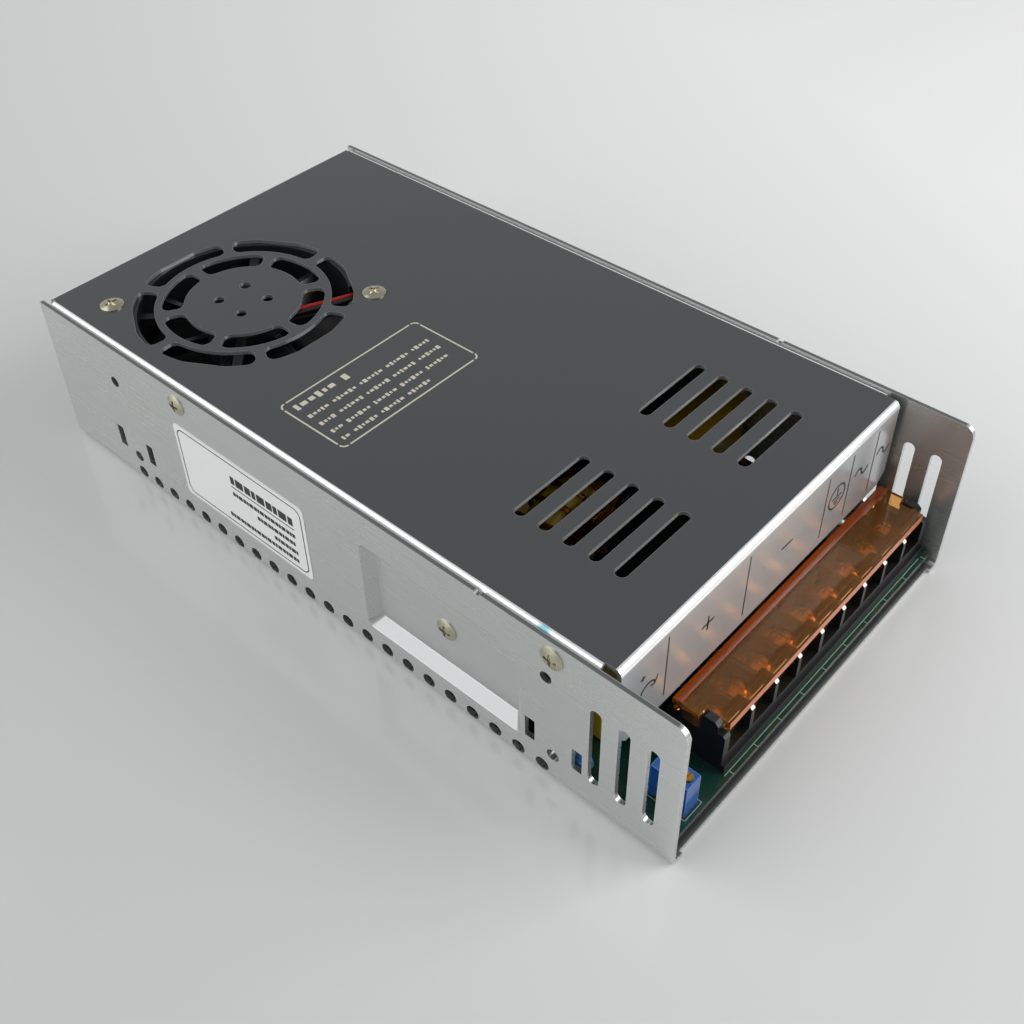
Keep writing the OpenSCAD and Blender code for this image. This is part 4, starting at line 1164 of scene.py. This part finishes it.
@dataclass
class BoardPrint:
    """White legend lines on the front strip of the circuit board.

    Attributes:
        line_y: Place of the long line along Y in millimetres.
        start: Start of the long line along X.
        end: End of the long line.
        pitch: Distance of the ticks, one to each pole.
        first_tick: Distance of the first tick from the start.
        tick: Length of a tick.
        stroke: Width of a line.
        margin: Distance of the trimmer's outline from its body.
    """

    line_y: float = -104.4
    start: float = -34.4
    end: float = 52.0
    pitch: float = 9.5
    first_tick: float = 1.8
    tick: float = 1.3
    stroke: float = 0.18
    margin: float = 0.7

    def outline(self, node: str) -> list[Object]:
        """Draw a rectangle round the foot of a node.

        Args:
            node: Name of the node.

        Returns:
            The four strokes.
        """
        low, high = span(node)
        m = self.margin
        wide, deep = high.x - low.x + 2 * m, high.y - low.y + 2 * m
        u, v = (low.x + high.x) / 2, (low.y + high.y) / 2
        strokes = [bar(u, v + side * deep / 2, wide, self.stroke) for side in (-1, 1)]
        return strokes + [bar(u + side * wide / 2, v, self.stroke, deep) for side in (-1, 1)]

    def build(self) -> None:
        """Print the lines on the board."""
        top = span("circuit_board")[1].z
        strokes = [bar((self.start + self.end) / 2, self.line_y, self.end - self.start, self.stroke)]
        count = int((self.end - self.start) / self.pitch)
        for index in range(count + 1):
            x = self.start + self.first_tick + index * self.pitch
            strokes.append(bar(x, self.line_y - self.tick / 2, self.stroke, self.tick))
        strokes += self.outline("trimmer_body")
        lay(strokes, Side.TOP, top, "board_legend", Finishes.INK_LEGEND)


@dataclass
class StripTrim:
    """Solid lip and ridge of the amber flip cover, and a painted glint on the front tip of each barrier.

    Attributes:
        poles: Number of poles.
        pitch: Distance of the poles in millimetres.
        lip: Height of the cover's front lip.
        lip_short: Length by which the lip falls short of the cover's width.
        ridge: Width of the ridge near the hinge.
        ridge_at: Distance of the ridge from the cover's rear edge.
        ridge_h: Height of the ridge above the plate.
        side_play: Length by which the ridge falls short of the cover's width.
        play: Width by which the ridge and the band fall short of theirs.
        front_y: Place of the barriers' front along Y.
        top: Height of the barriers' top.
        chamfer: Leg of the chamfer at the barriers' front top corner.
        tip: Width and length of the painted glint on a tip.
        round_by: Radius of the corners of the lip and of a glint.
    """

    poles: int = 9
    pitch: float = 9.5
    lip: float = 2.1
    lip_short: float = 5.2
    ridge: float = 0.7
    ridge_at: float = 1.8
    ridge_h: float = 0.4
    side_play: float = 0.2
    play: float = 0.1
    front_y: float = -103.0
    top: float = 16.6
    chamfer: float = 0.6
    tip: tuple[float, float] = (1.25, 0.8)
    round_by: tuple[float, float] = (0.2, 0.15)

    def flip_cover(self) -> None:
        """Colour the lip and the stretch behind the ridge, where the plastic is thick."""
        low, high = span("terminal_cover")
        plate = high.z - self.ridge_h
        u, wide = (low.x + high.x) / 2, high.x - low.x
        lip = bar(u, plate - self.lip / 2, wide - self.lip_short, self.lip, round_by=self.round_by[0])
        lay([lip], Side.FRONT, -low.y, "flip_cover_lip", Finishes.AMBER_LIP, Body.FLIP)
        ridge_y = high.y - self.ridge_at - self.ridge / 2
        ridge = bar(u, ridge_y, wide - self.side_play, self.ridge - self.play)
        lay([ridge], Side.TOP, high.z, "flip_cover_ridge", Finishes.AMBER_RIDGE, Body.FLIP)
        band = bar(u, high.y - self.ridge_at / 2, wide - self.side_play, self.ridge_at - self.play)
        lay([band], Side.TOP, plate, "flip_cover_hinge_band", Finishes.AMBER_RIDGE, Body.FLIP)

    def barrier_tip_glints(self) -> None:
        """Lay a painted glint on the chamfered front tip of each barrier."""
        low, high = span("terminal_block")
        middle = (low.x + high.x) / 2
        y, z = self.front_y + self.chamfer / 2, self.top - self.chamfer / 2
        normal = Side.CHAMFER.normal
        along = Side.CHAMFER.value.to_3x3() @ Vector((0, 1, 0))
        place = Vector((0, y, z))
        drop, soft = place.dot(along), self.round_by[1]
        spots = [middle + (index - self.poles / 2) * self.pitch for index in range(1, self.poles)]
        tips = [bar(x, drop, *self.tip, round_by=soft) for x in spots]
        lay(tips, Side.CHAMFER, place.dot(normal), "barrier_tip_glints", Finishes.TIP)

    def build(self) -> None:
        """Make the trim."""
        self.flip_cover()
        self.barrier_tip_glints()


@dataclass
class FanLeads:
    """The two leads of the fan, along their strut, through the frame side and down to their socket.

    Attributes:
        hub: Place of the fan's middle in millimetres.
        strut: Place of the strut from the fan's middle.
        turn: Turn of the strut in degrees.
        depth: Distance of the strut's face below the fan's top.
        radius: Radius of a lead.
        play: Distance of the leads above the strut.
        foot: Height of the leads' end above the board, inside the socket.
        spread: Step from the middle of the pair to one lead, across and along.
        along: Places along the strut, from its middle.
        out: Places past the strut, from the fan's middle and the strut's face.
    """

    hub: tuple[float, float] = (-20.5, 66.0)
    strut: tuple[float, float] = (14.4, -14.2)
    turn: float = -25.0
    depth: float = 3.1
    radius: float = 0.65
    play: float = 0.05
    foot: float = 2.2
    spread: tuple[float, float] = (0.45, 0.78)
    along: tuple[float, ...] = (-9.0, -6.0, -3.0, 0.0, 3.0, 6.5)
    out: tuple[Point, ...] = (
        (23.2, -18.1, 0.0),
        (26.0, -19.0, 0.0),
        (30.0, -19.2, 0.0),
        (33.6, -19.2, -0.8),
        (35.4, -19.1, -4.0),
        (36.0, -19.0, -9.0),
        (36.2, -19.1, -16.0),
        (36.8, -19.2, -23.0),
        (37.5, -19.2, -30.0),
    )

    def places(self) -> list[Vector]:
        """Chosen places of the route, from the fan's middle at the height of the strut's face.

        Returns:
            The places in millimetres.
        """
        way = Vector((math.cos(math.radians(self.turn)), math.sin(math.radians(self.turn)), 0))
        strut = Vector((*self.strut, 0))
        face = span("fan_frame")[1].z - self.depth
        low = span("circuit_board")[1].z + self.foot - face - self.radius
        foot = Vector((*self.out[-1][:2], low))
        return [strut + way * t for t in self.along] + [Vector(p) for p in self.out] + [foot]

    @staticmethod
    def smooth(places: Sequence[Vector], steps: int = 3) -> list[Vector]:
        """Points of a smooth curve through the places.

        Args:
            places: Places that the curve passes.
            steps: Points for each stretch.

        Returns:
            The points.
        """
        points = []
        for i in range(len(places) - 1):
            a, b, c = places[max(i - 1, 0)], places[i], places[i + 1]
            d = places[min(i + 2, len(places) - 1)]
            for step in range(steps):
                t = step / steps
                bent = (2 * a - 5 * b + 4 * c - d) * t * t + (3 * b - a - 3 * c + d) * t * t * t
                points.append(0.5 * (2 * b + (c - a) * t + bent))
        return [*points, places[-1]]

    def lead(self, name: str, node: str, side: int, finish: Finishes) -> Object:
        """Args:
            name: Name of the piece.
            node: Node that it stands for.
            side: Side of the pair that it lies on.
            finish: Finish of its sleeve.

        Returns:
            The lead.
        """
        face = span("fan_frame")[1].z - self.depth
        start = Vector((*self.hub, face + self.radius + self.play)) + side * Vector((*self.spread, 0))
        points = [(start + p) * MM for p in self.smooth(self.places())]
        data = bpy.data.curves.new(name, "CURVE")
        data.dimensions = "3D"
        data.bevel_depth = self.radius * MM
        data.bevel_resolution = 4
        data.use_fill_caps = True
        spline = data.splines.new("POLY")
        spline.points.add(len(points) - 1)
        for target, point in zip(spline.points, points):
            target.co = (*point, 1.0)
        spline.use_smooth = True
        obj = bpy.data.objects.new(name, data)
        bpy.context.collection.objects.link(obj)
        data.materials.append(finish.value.build())
        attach(obj, Body.CASE.value)
        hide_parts(node)
        return obj

    def build(self) -> None:
        """Make both leads."""
        self.lead("fan_lead_plus", "fan_lead_red", 1, Finishes.LEAD_RED)
        self.lead("fan_lead_minus", "fan_lead_black", -1, Finishes.LEAD_BLACK)


def main() -> None:
    """Build everything in order and report each part."""
    logging.basicConfig(level=logging.INFO, format="%(message)s")
    Studio().build()
    FanLeads().build()
    dress_nodes()
    CoverNotice().build()
    PanelLegends().build()
    StickerPrint().build()
    BoardPrint().build()
    StripTrim().build()


if __name__ == "__main__":
    main()
